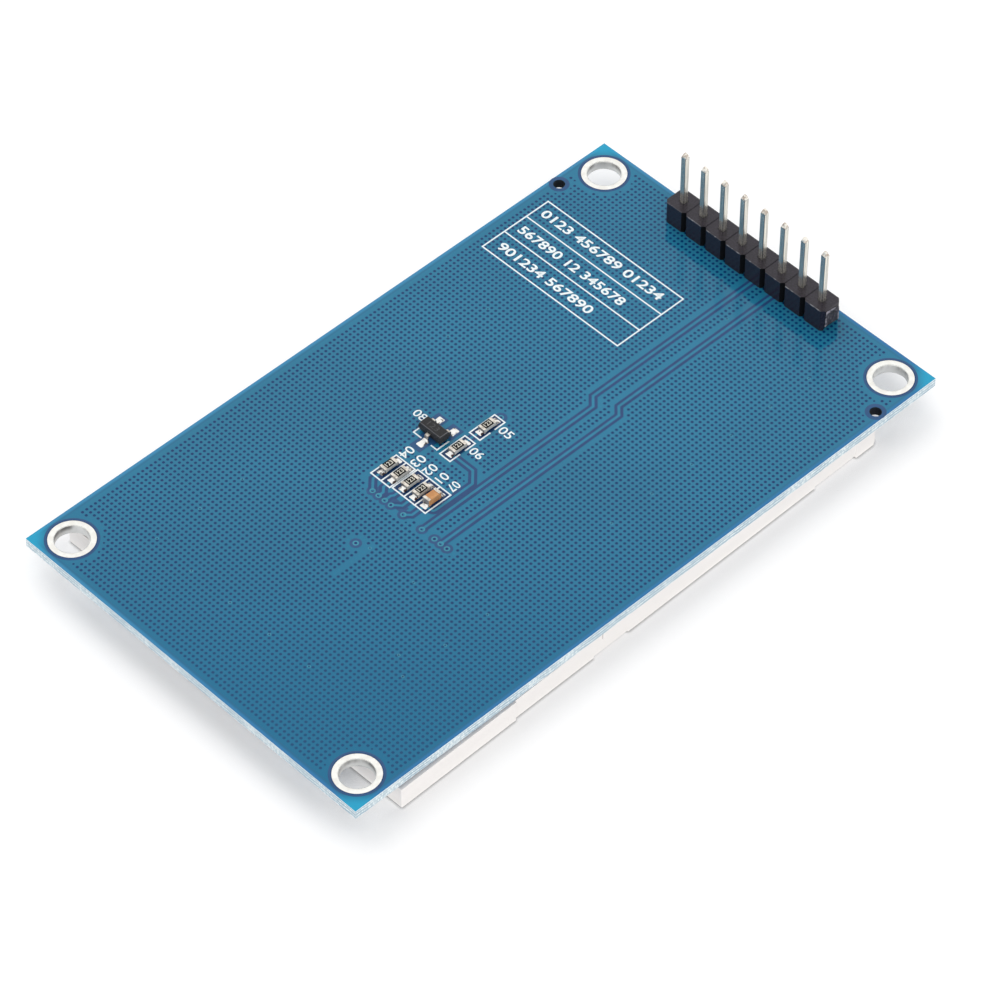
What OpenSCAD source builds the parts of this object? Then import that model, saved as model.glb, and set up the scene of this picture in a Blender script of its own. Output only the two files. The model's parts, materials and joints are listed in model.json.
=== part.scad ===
// Display module: a small TFT panel taped under a circuit board with a one-row pin header.
// Millimetres, +Z up. The module lies on its display face at z = 0, with the pins pointing up.
// The origin is under the middle of the board. +Y runs towards the header.

/* [Panel] */
// Width of the panel across its proud side lands
panel_w = 42.72; // [34:0.01:60]
// Length of the panel's moulded frame
panel_l = 60.26; // [48:0.01:80]
// Angle by which the panel sits askew on its tape, in degrees
panel_turn = 0.65; // [-1:0.05:1]
// Sideways offset of the panel under the board
panel_shift = -0.08; // [-0.4:0.01:0.4]

/* [Board] */
// Thickness of the circuit board
board_t = 1.0; // [0.6:0.1:2]
// Board left outside the panel on each long side
side_margin = 0.0; // [0:0.05:4]
// Board left beyond the panel at the header end
head_margin = 7.11; // [6.6:0.01:12]
// Board left beyond the panel at the flex end
foot_margin = 4.83; // [2.5:0.01:10]

/* [Mounting holes] */
// Clear diameter of a mounting hole
hole_d = 3.2; // [2:0.1:3.8]
// Distance of a mounting hole's axis from both board edges
hole_inset = 2.9; // [2.8:0.05:5]
// Width of the bare copper land around a mounting hole
land_w = 0.6; // [0.3:0.02:0.9]
// Thickness of the hole's copper lining and lands
plating_t = 0.05; // [0.03:0.01:0.1]
// Diameter of the two small locating holes
locating_d = 1.15; // [0.6:0.05:1.4]
// Distance of a locating hole's axis from the long edge
locating_side = 0.96; // [0.9:0.02:3]
// Distance of a locating hole's axis from the header-end edge
locating_end = 6.97; // [6.5:0.01:9]

/* [Header] */
// Number of pins
pin_count = 8; // [2:1:8]
// Distance between pins
pin_pitch = 2.54; // [2:0.01:3.1]
// Side of a square pin
pin_side = 0.56; // [0.4:0.02:0.8]
// Length of a pin from tip to tip
pin_l = 11.8; // [9:0.1:14]
// Height that a pin stands above its housing
pin_rise = 6.3; // [4:0.1:8]
// Length of a pin's tapered tip
tip_l = 0.56; // [0.2:0.02:1]
// Side of the small flat on a pin's tip
tip_side = 0.14; // [0.06:0.02:0.3]
// Height of the housing
housing_h = 2.54; // [1.5:0.02:4]
// Depth of the housing, front to back
housing_d = 2.5; // [2:0.02:3.2]
// Depth of the break notches between the housing's segments
break_notch = 0.33; // [0.2:0.01:0.45]
// Height of the webs between the segments above the board
web_rise = 0.45; // [0.3:0.05:0.8]
// Distance of the pin row from the board's edge
header_inset = 2.03; // [1.8:0.01:3]
// Diameter of the board's pin holes
pin_hole_d = 1.02; // [0.9:0.02:1.2]

/* [Chips] */
// Length of a chip resistor or capacitor
chip_l = 1.6; // [1.2:0.1:2]
// Width of a chip resistor or capacitor
chip_w = 0.8; // [0.6:0.05:1]
// Height of a chip resistor
resistor_h = 0.45; // [0.35:0.05:0.6]
// Height of the chip capacitor
capacitor_h = 0.8; // [0.5:0.05:1]
// Length of an end cap along the chip
cap_l = 0.3; // [0.2:0.05:0.4]
// Wall of an end cap
cap_t = 0.04; // [0.03:0.01:0.06]
// Thickness of solder under a chip
solder_t = 0.05; // [0.03:0.01:0.1]
// Length of a solder fillet beyond the chip's end
fillet_l = 0.42; // [0.2:0.02:0.5]

/* [Regulator] */
// Length of the regulator's body
reg_l = 2.9; // [2.4:0.1:3.2]
// Width of the regulator's body
reg_w = 1.3; // [1.1:0.1:1.6]
// Height of the regulator's body
reg_h = 1.0; // [0.8:0.05:1.2]
// Width over the lead tips
reg_span = 2.4; // [2.2:0.05:2.8]
// Distance between the two leads on one side
reg_pitch = 1.9; // [1.6:0.05:2.1]
// Length of a solder pad beyond a lead's toe
reg_pad_toe = 0.8; // [0.3:0.05:1.2]
// Width of a solder pad under a lead
reg_pad_w = 0.85; // [0.6:0.05:1]

/* [Frame] */
// Amount by which the side lands stand proud of the frame's sides
side_step = 0.2; // [0.05:0.01:0.4]
// Wall of the frame beside the glass
frame_wall = 0.8; // [0.5:0.05:1.2]
// Wall of the frame at its two ends
end_wall = 1.0; // [0.6:0.05:1.5]
// Width of the shelf that the glass sits on
shelf_w = 0.9; // [0.6:0.05:1.5]
// Radius of the frame's outer corners
corner_r = 0.5; // [0.2:0.05:0.6]
// Play around the glass
glass_gap = 0.13; // [0.05:0.01:0.3]
// Play around the films and the light guide
film_gap = 0.1; // [0.05:0.01:0.25]
// Amount by which the front polariser stands proud of the frame
face_proud = 0.1; // [0.05:0.01:0.15]
// Depth of the reflector below the frame's back edge
back_recess = 0.15; // [0.1:0.01:0.4]

/* [Frame sides] */
// Length of the proud side land at the flex end
foot_land = 13.8; // [6:0.1:16]
// Length of the proud side land at the header end
head_land = 2.9; // [1.5:0.1:4]
// Distance of the finger recess from the middle of the frame, towards the flex end
grip_offset = 4.45; // [3:0.05:6]
// Length of the finger recess in the front edge
grip_l = 4.3; // [2:0.1:5]
// Length of the recess in the front edge beside the header-end land
head_recess_l = 5.4; // [2:0.1:6]
// Distance between the frame's two side slits
slit_span = 28.0; // [22:0.1:32]
// Distance of the flex-end slit from the middle of the frame
slit_offset = 5.5; // [3:0.1:8]

/* [Glass and films] */
// Thickness of each sheet of glass
glass_t = 0.5; // [0.3:0.05:0.7]
// Length of the array glass left bare for the driver chip and the flex
ledge_l = 4.4; // [4:0.1:6]
// Thickness of a polariser
polariser_t = 0.18; // [0.1:0.01:0.25]
// Border of glass left bare around a polariser
polariser_inset = 0.5; // [0.2:0.05:0.8]
// Thickness of the rim tape between the films and the glass
rim_tape_t = 0.05; // [0.03:0.01:0.1]
// Width by which the rim tape covers the films' edges
rim_tape_lap = 0.7; // [0.3:0.05:1]
// Thickness of a prism film
prism_t = 0.07; // [0.05:0.01:0.12]
// Thickness of the diffuser
diffuser_t = 0.1; // [0.05:0.01:0.15]
// Thickness of the light guide
guide_t = 0.6; // [0.5:0.05:0.9]
// Thickness of the reflector
reflector_t = 0.1; // [0.06:0.01:0.2]

/* [LED strip] */
// Number of side-firing LEDs
led_count = 4; // [2:1:4]
// Distance between LEDs
led_pitch = 8.6; // [6:0.1:9]
// Length of an LED
led_l = 3.8; // [3:0.1:4]
// Depth of an LED, along the light
led_d = 1.0; // [0.8:0.05:1.2]

/* [Flex tail] */
// Thickness of the flex
flex_t = 0.12; // [0.08:0.01:0.15]
// Width of the flex where it is bonded to the glass
bond_w = 24; // [18:0.5:28]
// Length of the bond
bond_l = 1.8; // [1.4:0.1:2.2]
// Number of pads on the tail
pad_count = 18; // [10:1:24]
// Distance between pads
pad_pitch = 0.8; // [0.5:0.05:0.9]
// Length that the tail runs back over the frame
tail_reach = 20; // [12:0.5:26]
// Length of a driver chip
driver_l = 17.8; // [12:0.1:20]

/* [Tape] */
// Thickness of the foam tape between panel and board
tape_t = 0.3; // [0.25:0.01:1]
// Width of a tape strip
tape_w = 6; // [3:0.5:9]
// Length of a tape strip
tape_l = 48; // [20:1:52]

/* [Hidden] */
$fn = 48;
// Extra depth of a cut, so that it leaves no skin
cut = 0.5;

RESISTORS = 6;

// Heights of the panel's layers above the display face
colour_z = polariser_t;
array_z = colour_z + glass_t;
rear_pol_z = array_z + glass_t;
rim_tape_z = rear_pol_z + polariser_t;
shelf_z = rim_tape_z + rim_tape_t;
prism_upper_z = shelf_z;
prism_lower_z = prism_upper_z + prism_t;
diffuser_z = prism_lower_z + prism_t;
guide_z = diffuser_z + diffuser_t;
reflector_z = guide_z + guide_t;
panel_t = reflector_z + reflector_t + back_recess;
board_z = panel_t + tape_t;
top_z = board_z + board_t;

// Outlines
board_w = panel_w + 2 * side_margin;
board_l = panel_l + head_margin + foot_margin;
panel_y = (foot_margin - head_margin) / 2;
hole_x = board_w / 2 - hole_inset;
hole_y = board_l / 2 - hole_inset;
locating_x = board_w / 2 - locating_side;
locating_y = board_l / 2 - locating_end;
header_y = board_l / 2 - header_inset;

// Pockets of the frame, and what lies in them
pocket_w = panel_w - 2 * (side_step + frame_wall);
pocket_l = panel_l - 2 * end_wall;
glass_w = pocket_w - 2 * glass_gap;
glass_l = pocket_l - 2 * glass_gap;
colour_l = glass_l - ledge_l;
film_pocket_w = pocket_w - 2 * shelf_w;
film_pocket_l = pocket_l - 2 * shelf_w;
film_w = film_pocket_w - 2 * film_gap;
film_top = film_pocket_l / 2 - film_gap;
led_y = -film_pocket_l / 2 + 1.0;
guide_y = led_y + led_d + film_gap;
film_y = guide_y + 0.6;

// Locating ears of the films and the light guide, and their notches in the frame
ear_l = 2.2;
ear_w = 0.5;
ear_places = [-8.2, 22.7];

// Flex tail
flex_bond_z = array_z - flex_t;
tail_w = pad_count * pad_pitch + 1.0;
notch_gap = 0.4;
bend_start = panel_l / 2 + 0.15;
bend_r = (panel_t + flex_t - flex_bond_z) / 2;
bend_z = flex_bond_z + bend_r;
tail_end = -panel_l / 2 + tail_reach;
tail_pad_l = 1.8;
tail_pad_w = pad_pitch / 2;

// Places of the chips on the board: centre x, centre y. Their length runs along Y.
row_y = -7.16;
row_x = -1.06;
row_pitch = 1.4;
RESISTOR_AT = concat(
    [for (i = [0 : 3]) [row_x - i * row_pitch, row_y]],
    [[-2.62, 2.54], [-2.57, -1.22]]);
CAPACITOR_AT = [row_x + row_pitch, row_y];
REGULATOR_AT = [-5.3, -1.55];

// Things mounted on the panel's own axes
module on_panel() {
    translate([panel_shift, panel_y, 0])
        rotate([0, 0, panel_turn])
            children();
}

// A flat sheet centred in x, from y0 to y1 and from z0 upwards
module sheet(w, y0, y1, z0, t) {
    translate([-w / 2, y0, z0])
        cube([w, y1 - y0, t]);
}

// A block with four round upright corners, centred on x and y
module rounded_block(w, l, h, r) {
    linear_extrude(h) {
        square([w - 2 * r, l], center = true);
        square([w, l - 2 * r], center = true);
        for (sx = [-1, 1], sy = [-1, 1])
            translate([sx * (w / 2 - r), sy * (l / 2 - r)])
                circle(r);
    }
}

// A bar with its two ends chamfered on all four sides, standing on z = 0
module chamfered_bar(side, length, chamfer, run) {
    h = side / 2;
    outline = [
        [-h, run], [-h + chamfer, 0], [h - chamfer, 0], [h, run],
        [h, length - run], [h - chamfer, length], [-h + chamfer, length], [-h, length - run]];
    intersection() {
        rotate([90, 0, 0])
            linear_extrude(side + 1, center = true)
                polygon(outline);
        rotate([90, 0, 90])
            linear_extrude(side + 1, center = true)
                polygon(outline);
    }
}

// The same thing at each of the four mounting holes
module at_mounting_holes() {
    for (sx = [-1, 1], sy = [-1, 1])
        translate([sx * hole_x, sy * hole_y, 0])
            children();
}

// The places of the header's pins, numbered from the left
function pin_x(i) = (i - (pin_count + 1) / 2) * pin_pitch;

module board() {
    color("steelblue")
        difference() {
            translate([-board_w / 2, -board_l / 2, board_z])
                cube([board_w, board_l, board_t]);
            at_mounting_holes()
                translate([0, 0, board_z - cut])
                    cylinder(d = hole_d + 2 * plating_t, h = board_t + 2 * cut);
            for (sx = [-1, 1])
                translate([sx * locating_x, locating_y, board_z - cut])
                    cylinder(d = locating_d, h = board_t + 2 * cut);
            for (i = [1 : pin_count])
                translate([pin_x(i), header_y, board_z - cut])
                    cylinder(d = pin_hole_d, h = board_t + 2 * cut);
        }
}

// Copper linings: a land on each face of the board, joined by a tube through the hole
module hole_platings() {
    inner = hole_d / 2;
    land = inner + land_w;
    color("gainsboro")
        at_mounting_holes()
            translate([0, 0, board_z])
                rotate_extrude()
                    polygon([
                        [inner, -plating_t],
                        [land, -plating_t],
                        [land, 0],
                        [inner + plating_t, 0],
                        [inner + plating_t, board_t],
                        [land, board_t],
                        [land, board_t + plating_t],
                        [inner, board_t + plating_t]]);
}

// One segment of the housing in plan: a square with its corners cut back
module housing_segment() {
    x = pin_pitch / 2;
    y = housing_d / 2;
    polygon([
        [-x, -y + break_notch], [-x + break_notch, -y], [x - break_notch, -y], [x, -y + break_notch],
        [x, y - break_notch], [x - break_notch, y], [-x + break_notch, y], [-x, y - break_notch]]);
}

// The torn end of the web where the strip was snapped off, standing upright in the YZ plane
module snapped_web() {
    web_y = housing_d / 2 - break_notch;
    proud = 0.1;
    chip = 0.22;
    rotate([90, 0, 90])
        linear_extrude(cut + proud)
            polygon([
                [-web_y, web_rise + chip / 2], [-web_y + chip / 3, housing_h - chip],
                [-web_y + chip, housing_h - chip / 2], [web_y - 1.5 * chip, housing_h - 1.6 * chip],
                [web_y - chip / 4, housing_h - 2.5 * chip], [web_y, web_rise - chip / 3],
                [0, web_rise + chip / 4]]);
}

module header_housing() {
    recess_h = 0.25;
    recess_side = 1.3;
    web_gap = 0.4;
    line_w = 0.08;
    line_h = 0.06;
    sink_h = 0.04;
    lead_in = 0.07;
    end_x = pin_count * pin_pitch / 2;
    color("darkslategray")
        translate([0, header_y, top_z])
            difference() {
                union() {
                    linear_extrude(housing_h)
                        for (i = [1 : pin_count])
                            translate([pin_x(i), 0])
                                housing_segment();
                    translate([end_x - cut, 0, 0])
                        snapped_web();
                }
                for (i = [1 : pin_count]) {
                    translate([pin_x(i), 0, housing_h / 2])
                        cube([pin_side, pin_side, housing_h + 2 * cut], center = true);
                    // recess under the segment, clear of the solder
                    translate([pin_x(i), 0, 0])
                        cube([recess_side, recess_side, 2 * recess_h], center = true);
                    // shallow sink round the pin, on the top face
                    translate([pin_x(i), 0, housing_h])
                        cube([pin_side + 2 * lead_in, pin_side + 2 * lead_in, 2 * sink_h], center = true);
                }
                // webs raised off the board, between the segments and at both ends
                for (i = [0 : pin_count])
                    translate([pin_x(i) + pin_pitch / 2, 0, 0])
                        cube([web_gap, housing_d - 2 * break_notch + 0.1, 2 * web_rise], center = true);
                // witness lines between the segments
                for (i = [1 : pin_count - 1])
                    translate([pin_x(i) + pin_pitch / 2, 0, housing_h])
                        cube([line_w, housing_d, 2 * line_h], center = true);
            }
}

module header_pin(i) {
    color("lightgray")
        translate([pin_x(i), header_y, top_z + housing_h + pin_rise - pin_l])
            chamfered_bar(pin_side, pin_l, (pin_side - tip_side) / 2, tip_l);
}

// Solder that fills a pin's hole and rises round the pin under the board
module header_joints() {
    neck_r = pin_side * 0.75;
    foot_r = pin_hole_d / 2 + 0.35;
    rise = 0.9;
    scoop_r = rise;
    color("silver")
        for (i = [1 : pin_count])
            translate([pin_x(i), header_y, board_z])
                difference() {
                    union() {
                        cylinder(d = pin_hole_d, h = board_t);
                        rotate_extrude()
                            difference() {
                                translate([0, -rise])
                                    square([foot_r, rise]);
                                translate([neck_r + scoop_r, -rise])
                                    circle(scoop_r);
                            }
                    }
                    translate([-pin_side / 2, -pin_side / 2, -rise - cut])
                        cube([pin_side, pin_side, board_t + rise + 2 * cut]);
                }
}

// Things placed on the board's top, at a chip's centre
module at_chip(place) {
    translate([place[0], place[1], top_z])
        children();
}

// A chip's ceramic, between and inside its end caps. The two notches take the caps.
module chip_core(h) {
    translate([-chip_w / 2, -chip_l / 2 + cap_t, solder_t + cap_t])
        cube([chip_w, chip_l - 2 * cap_t, h - 2 * cap_t]);
}

// An end cap at each end: a plate with a lip over the top and one under the chip
module chip_caps(h) {
    for (turn = [0, 180])
        rotate([0, 0, turn])
            translate([0, -chip_l / 2, solder_t])
                difference() {
                    translate([-chip_w / 2, 0, 0])
                        cube([chip_w, cap_l, h]);
                    translate([-chip_w / 2 - cut, cap_t, cap_t])
                        cube([chip_w + 2 * cut, cap_l, h - 2 * cap_t]);
                }
}

module resistor(i) {
    color("ivory")
        at_chip(RESISTOR_AT[i - 1])
            chip_core(resistor_h);
}

// Dark overcoat over the resistive film, between the caps' upper lips
module resistor_coat(i) {
    coat_l = chip_l - 2 * cap_l;
    coat_w = chip_w - 0.06;
    color("black")
        at_chip(RESISTOR_AT[i - 1])
            translate([-coat_w / 2, -coat_l / 2, solder_t + resistor_h - cap_t])
                cube([coat_w, coat_l, cap_t]);
}

module resistor_caps(i) {
    color("silver")
        at_chip(RESISTOR_AT[i - 1])
            chip_caps(resistor_h);
}

module capacitor() {
    color("tan")
        at_chip(CAPACITOR_AT)
            chip_core(capacitor_h);
}

module capacitor_caps() {
    color("silver")
        at_chip(CAPACITOR_AT)
            chip_caps(capacitor_h);
}

// The regulator's heights: the body is held clear of the board, and its leads leave at mid height
reg_z = 0.1;
lead_t = 0.12;
lead_w = 0.42;
lead_z = solder_t + 0.5;
lead_r = 0.1;

// The regulator's body: sides that slope away from the parting line, lengthwise and across
module regulator() {
    mid = lead_z + lead_t / 2;
    draft = 0.12;
    x = reg_l / 2;
    y = reg_w / 2;
    color("dimgray")
        at_chip(REGULATOR_AT)
            intersection() {
                rotate([90, 0, 0])
                    linear_extrude(2 * reg_w, center = true)
                        polygon([
                            [-x + draft, reg_z], [x - draft, reg_z], [x, mid],
                            [x - draft, reg_z + reg_h], [-x + draft, reg_z + reg_h], [-x, mid]]);
                rotate([90, 0, 90])
                    linear_extrude(2 * reg_l, center = true)
                        polygon([
                            [-y + draft, reg_z], [y - draft, reg_z], [y, mid],
                            [y - draft, reg_z + reg_h], [-y + draft, reg_z + reg_h], [-y, mid]]);
            }
}

// A quarter ring in plan, from the +X axis to the +Y axis
module quarter_ring(r, t) {
    intersection() {
        difference() {
            circle(r + t);
            circle(r);
        }
        square(r + t);
    }
}

// One gull-wing lead in side view: out of the body at y = reg_w / 2, down, and along the pad
module lead_outline() {
    out = (reg_span - reg_w) / 2;
    knee = reg_w / 2 + 0.16;
    foot_top = solder_t + lead_t;
    toe = reg_w / 2 + out;
    translate([reg_w / 2, lead_z])
        square([knee - reg_w / 2, lead_t]);
    translate([knee, lead_z - lead_r])
        quarter_ring(lead_r, lead_t);
    translate([knee + lead_r, foot_top + lead_r])
        square([lead_t, lead_z - foot_top - 2 * lead_r]);
    translate([knee + 2 * lead_r + lead_t, foot_top + lead_r])
        rotate(180)
            quarter_ring(lead_r, lead_t);
    translate([knee + 2 * lead_r + lead_t, solder_t])
        square([toe - knee - 2 * lead_r - lead_t, lead_t]);
}

// Three places: two leads on the +Y side and one on the -Y side
module at_leads() {
    for (x = [-reg_pitch / 2, reg_pitch / 2])
        translate([x, 0, 0])
            children();
    rotate([0, 0, 180])
        children();
}

module regulator_leads() {
    color("silver")
        at_chip(REGULATOR_AT)
            at_leads()
                rotate([90, 0, 90])
                    linear_extrude(lead_w, center = true)
                        lead_outline();
}

// A pad of solder under an end cap with a hollow fillet climbing the cap's end
module chip_fillet(h) {
    rise = h * 0.7;
    translate([-chip_w / 2, -chip_l / 2 - fillet_l, 0])
        cube([chip_w, fillet_l + cap_l, solder_t]);
    translate([0, -chip_l / 2 - fillet_l, solder_t])
        rotate([90, 0, 90])
            linear_extrude(chip_w, center = true)
                difference() {
                    square([fillet_l, rise]);
                    translate([0, rise])
                        fillet_scoop(fillet_l, rise);
                }
}

// A scoop that leaves a fillet: the circle through both ends of the fillet's slope
module fillet_scoop(run, rise) {
    r = max(run, rise);
    translate([run - r, r - rise])
        circle(r);
}

module chip_joints() {
    toe = reg_span / 2;
    foot_l = 0.34;
    color("silver") {
        for (place = RESISTOR_AT)
            at_chip(place)
                for (turn = [0, 180])
                    rotate([0, 0, turn])
                        chip_fillet(resistor_h);
        at_chip(CAPACITOR_AT)
            for (turn = [0, 180])
                rotate([0, 0, turn])
                    chip_fillet(capacitor_h);
        at_chip(REGULATOR_AT)
            at_leads()
                translate([-reg_pad_w / 2, toe - foot_l, 0])
                    cube([reg_pad_w, foot_l + reg_pad_toe, solder_t]);
    }
}

// A tape strip under one long side of the board, kept inside the narrower of board and panel
module tape_strip(side) {
    edge = min(board_w, panel_w) / 2 - 0.9;
    color("lightyellow")
        on_panel()
            translate([side < 0 ? -edge : edge - tape_w, -tape_l / 2, panel_t])
                cube([tape_w, tape_l, tape_t]);
}

// Notches for the films' ears, in the shelf beside the film pocket
module ear_notches(margin, z0, t) {
    for (sx = [-1, 1], y = ear_places)
        translate([sx * film_w / 2, y, z0 + t / 2])
            cube([2 * (ear_w + margin), ear_l + 2 * margin, t], center = true);
}

module backlight_frame() {
    body_w = panel_w - 2 * side_step;
    land_r = 0.1;
    head_step = 0.12;
    h = panel_t - face_proud;
    color("whitesmoke")
        on_panel()
            difference() {
                union() {
                    translate([0, 0, face_proud])
                        rounded_block(body_w, panel_l, h, corner_r);
                    // proud lands, right to the flex end and up to the round corners at the header end
                    translate([0, (foot_land - panel_l) / 2, face_proud])
                        rounded_block(panel_w, foot_land, h, land_r);
                    translate([0, (panel_l - head_land) / 2 - corner_r / 2, face_proud])
                        rounded_block(body_w + 2 * head_step, head_land - corner_r, h, land_r);
                }
                // glass pocket, open at the display face
                translate([0, 0, -cut])
                    rounded_block(pocket_w, pocket_l, shelf_z + cut, 0.3);
                // film pocket, open at the back
                translate([0, 0, shelf_z - cut])
                    rounded_block(film_pocket_w, film_pocket_l, panel_t, 0.3);
                ear_notches(film_gap, shelf_z, panel_t);
                // way out for the flex
                translate([-tail_w / 2 - notch_gap, -panel_l / 2 - cut, 0])
                    cube([tail_w + 2 * notch_gap, end_wall + 2 * cut, array_z + 0.1]);
                frame_side_marks();
                // cores that thin the end rail between the LEDs
                for (i = [0 : led_count])
                    translate([(i - led_count / 2) * led_pitch, -film_pocket_l / 2, shelf_z + panel_t / 2])
                        cube([led_pitch - led_l - 1.4, 0.8, panel_t], center = true);
            }
}

// Moulding marks on the long sides: a raised front edge, two slits and a raised corner
module frame_side_marks() {
    body_x = panel_w / 2 - side_step;
    edge_in = 0.25;
    edge_up = 0.22;
    slit_w = 0.16;
    slit_in = 0.35;
    slit_h = 0.7;
    for (sx = [-1, 1]) {
        translate([sx * body_x, -grip_offset, face_proud])
            cube([2 * edge_in, grip_l, 2 * edge_up], center = true);
        translate([sx * body_x, panel_l / 2 - head_land - head_recess_l / 2, face_proud])
            cube([2 * edge_in, head_recess_l, 2 * edge_up], center = true);
        for (y = [-slit_offset, slit_span - slit_offset])
            translate([sx * body_x, y, panel_t])
                cube([2 * slit_in, slit_w, 2 * slit_h], center = true);
    }
}

// A film in the frame's pocket, with ears that sit in the notches
module film(y0, z0, t) {
    sheet(film_w, y0, film_top, z0, t);
    ear_notches(0, z0, t);
}

module reflector() {
    color("white")
        on_panel()
            film(film_y, reflector_z, reflector_t);
}

module light_guide() {
    color("azure")
        on_panel()
            film(guide_y, guide_z, guide_t);
}

module diffuser() {
    color("snow")
        on_panel()
            film(film_y, diffuser_z, diffuser_t);
}

module prism_film(z0) {
    color("aliceblue")
        on_panel()
            film(film_y, z0, prism_t);
}

// Ring of thin tape on the shelf and the films' edges
module rim_tape() {
    outer_w = pocket_w - 0.3;
    outer_l = pocket_l - 0.3;
    inner_w = film_w - 2 * rim_tape_lap;
    inner_y = film_y + rim_tape_lap;
    color("black")
        on_panel()
            difference() {
                translate([0, 0, rim_tape_z])
                    rounded_block(outer_w, outer_l, rim_tape_t, 0.4);
                sheet(inner_w, inner_y, film_top - rim_tape_lap, rim_tape_z - cut, rim_tape_t + 2 * cut);
            }
}

// Narrow flex under the LEDs, between the reflector and the frame's end
module led_strip() {
    color("peru")
        on_panel()
            sheet(film_w, -film_pocket_l / 2 + film_gap, film_y - film_gap, reflector_z, reflector_t);
}

// A side-firing LED: a white case with a window towards the light guide
module led(i) {
    window_l = led_l - 0.8;
    window_h = guide_t - 0.24;
    color("seashell")
        on_panel()
            translate([(i - (led_count + 1) / 2) * led_pitch, led_y, guide_z])
                difference() {
                    translate([-led_l / 2, 0, 0])
                        cube([led_l, led_d, guide_t]);
                    translate([-window_l / 2, led_d - 0.25, (guide_t - window_h) / 2])
                        cube([window_l, cut, window_h]);
                }
}

module polariser(z0) {
    y0 = glass_l / 2 - colour_l + polariser_inset;
    color("darkslategray")
        on_panel()
            sheet(glass_w - 2 * polariser_inset, y0, glass_l / 2 - polariser_inset, z0, polariser_t);
}

module array_glass() {
    color("lightcyan")
        on_panel()
            sheet(glass_w, -glass_l / 2, glass_l / 2, array_z, glass_t);
}

module colour_glass() {
    color("lightblue")
        on_panel()
            sheet(glass_w, glass_l / 2 - colour_l, glass_l / 2, colour_z, glass_t);
}

// Bare driver chip on the ledge, beside the colour-filter glass
module driver_chip() {
    driver_w = 0.7;
    driver_t = 0.28;
    driver_y = glass_l / 2 - colour_l - 0.6 - driver_w;
    color("slategray")
        on_panel()
            sheet(driver_l, driver_y, driver_y + driver_w, array_z - driver_t, driver_t);
}

// The flex: a wide head on the ledge, a bend round the frame's end, and a run back over the frame
module flex_tail() {
    color("darkgoldenrod")
        on_panel() {
            translate([0, (bond_l - glass_l) / 2, flex_bond_z])
                rounded_block(bond_w, bond_l, flex_t, 0.4);
            sheet(tail_w, -bend_start, -glass_l / 2 + bond_l / 2, flex_bond_z, flex_t);
            translate([0, -bend_start, bend_z])
                rotate([0, 90, 0])
                    rotate([0, 0, 180])
                        translate([0, 0, -tail_w / 2])
                            half_ring(bend_r - flex_t, flex_t, tail_w);
            sheet(tail_w, -bend_start, tail_end - tail_pad_l, panel_t, flex_t);
            translate([0, tail_end - tail_pad_l, panel_t])
                rounded_block(tail_w, 2 * tail_pad_l, flex_t, 0.5);
        }
}

// Half of a ring, on the +Y side, with its axis along Z
module half_ring(r, t, h) {
    linear_extrude(h)
        intersection() {
            difference() {
                circle(r + t);
                circle(r);
            }
            translate([-r - t, 0])
                square([2 * (r + t), r + t]);
        }
}

// Solder between the tail and the board, and between the LED strip and the tail above it
module tail_joints() {
    z0 = panel_t + flex_t;
    strip_z = reflector_z + reflector_t;
    strip_pad_w = 1.2;
    strip_pad_l = 1.6;
    strip_pad_y = (-film_pocket_l / 2 + film_y) / 2;
    color("silver")
        on_panel() {
            translate([-tail_pad_w / 2, tail_end - tail_pad_l - 0.3, z0])
                for (i = [1 : pad_count])
                    translate([(i - (pad_count + 1) / 2) * pad_pitch, 0, 0])
                        cube([tail_pad_w, tail_pad_l, board_z - z0]);
            for (sx = [-1, 1])
                translate([sx * led_pitch / 4, strip_pad_y, (strip_z + panel_t) / 2])
                    cube([strip_pad_w, strip_pad_l, panel_t - strip_z], center = true);
        }
}

board();
hole_platings();
header_housing();
for (i = [1 : pin_count])
    header_pin(i);
header_joints();
for (i = [1 : RESISTORS]) {
    resistor(i);
    resistor_coat(i);
    resistor_caps(i);
}
capacitor();
capacitor_caps();
regulator();
regulator_leads();
chip_joints();
tape_strip(-1);  // tape_left
tape_strip(1);  // tape_right
backlight_frame();
reflector();
light_guide();
diffuser();
prism_film(prism_lower_z);  // prism_film_lower
prism_film(prism_upper_z);  // prism_film_upper
rim_tape();
led_strip();
for (i = [1 : led_count])
    led(i);
polariser(rear_pol_z);  // rear_polariser
array_glass();
colour_glass();
polariser(0);  // front_polariser
driver_chip();
flex_tail();
tail_joints();
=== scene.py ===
"""Looks of a display module round its CAD frame: finishes, plated and printed detail, light and camera.

Shapes are made in millimetres, in the module's own frame, and scaled to metres at their hand-over.
"""

import json
import math
import random

import bmesh
import bpy
from mathutils import Matrix, Vector


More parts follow.
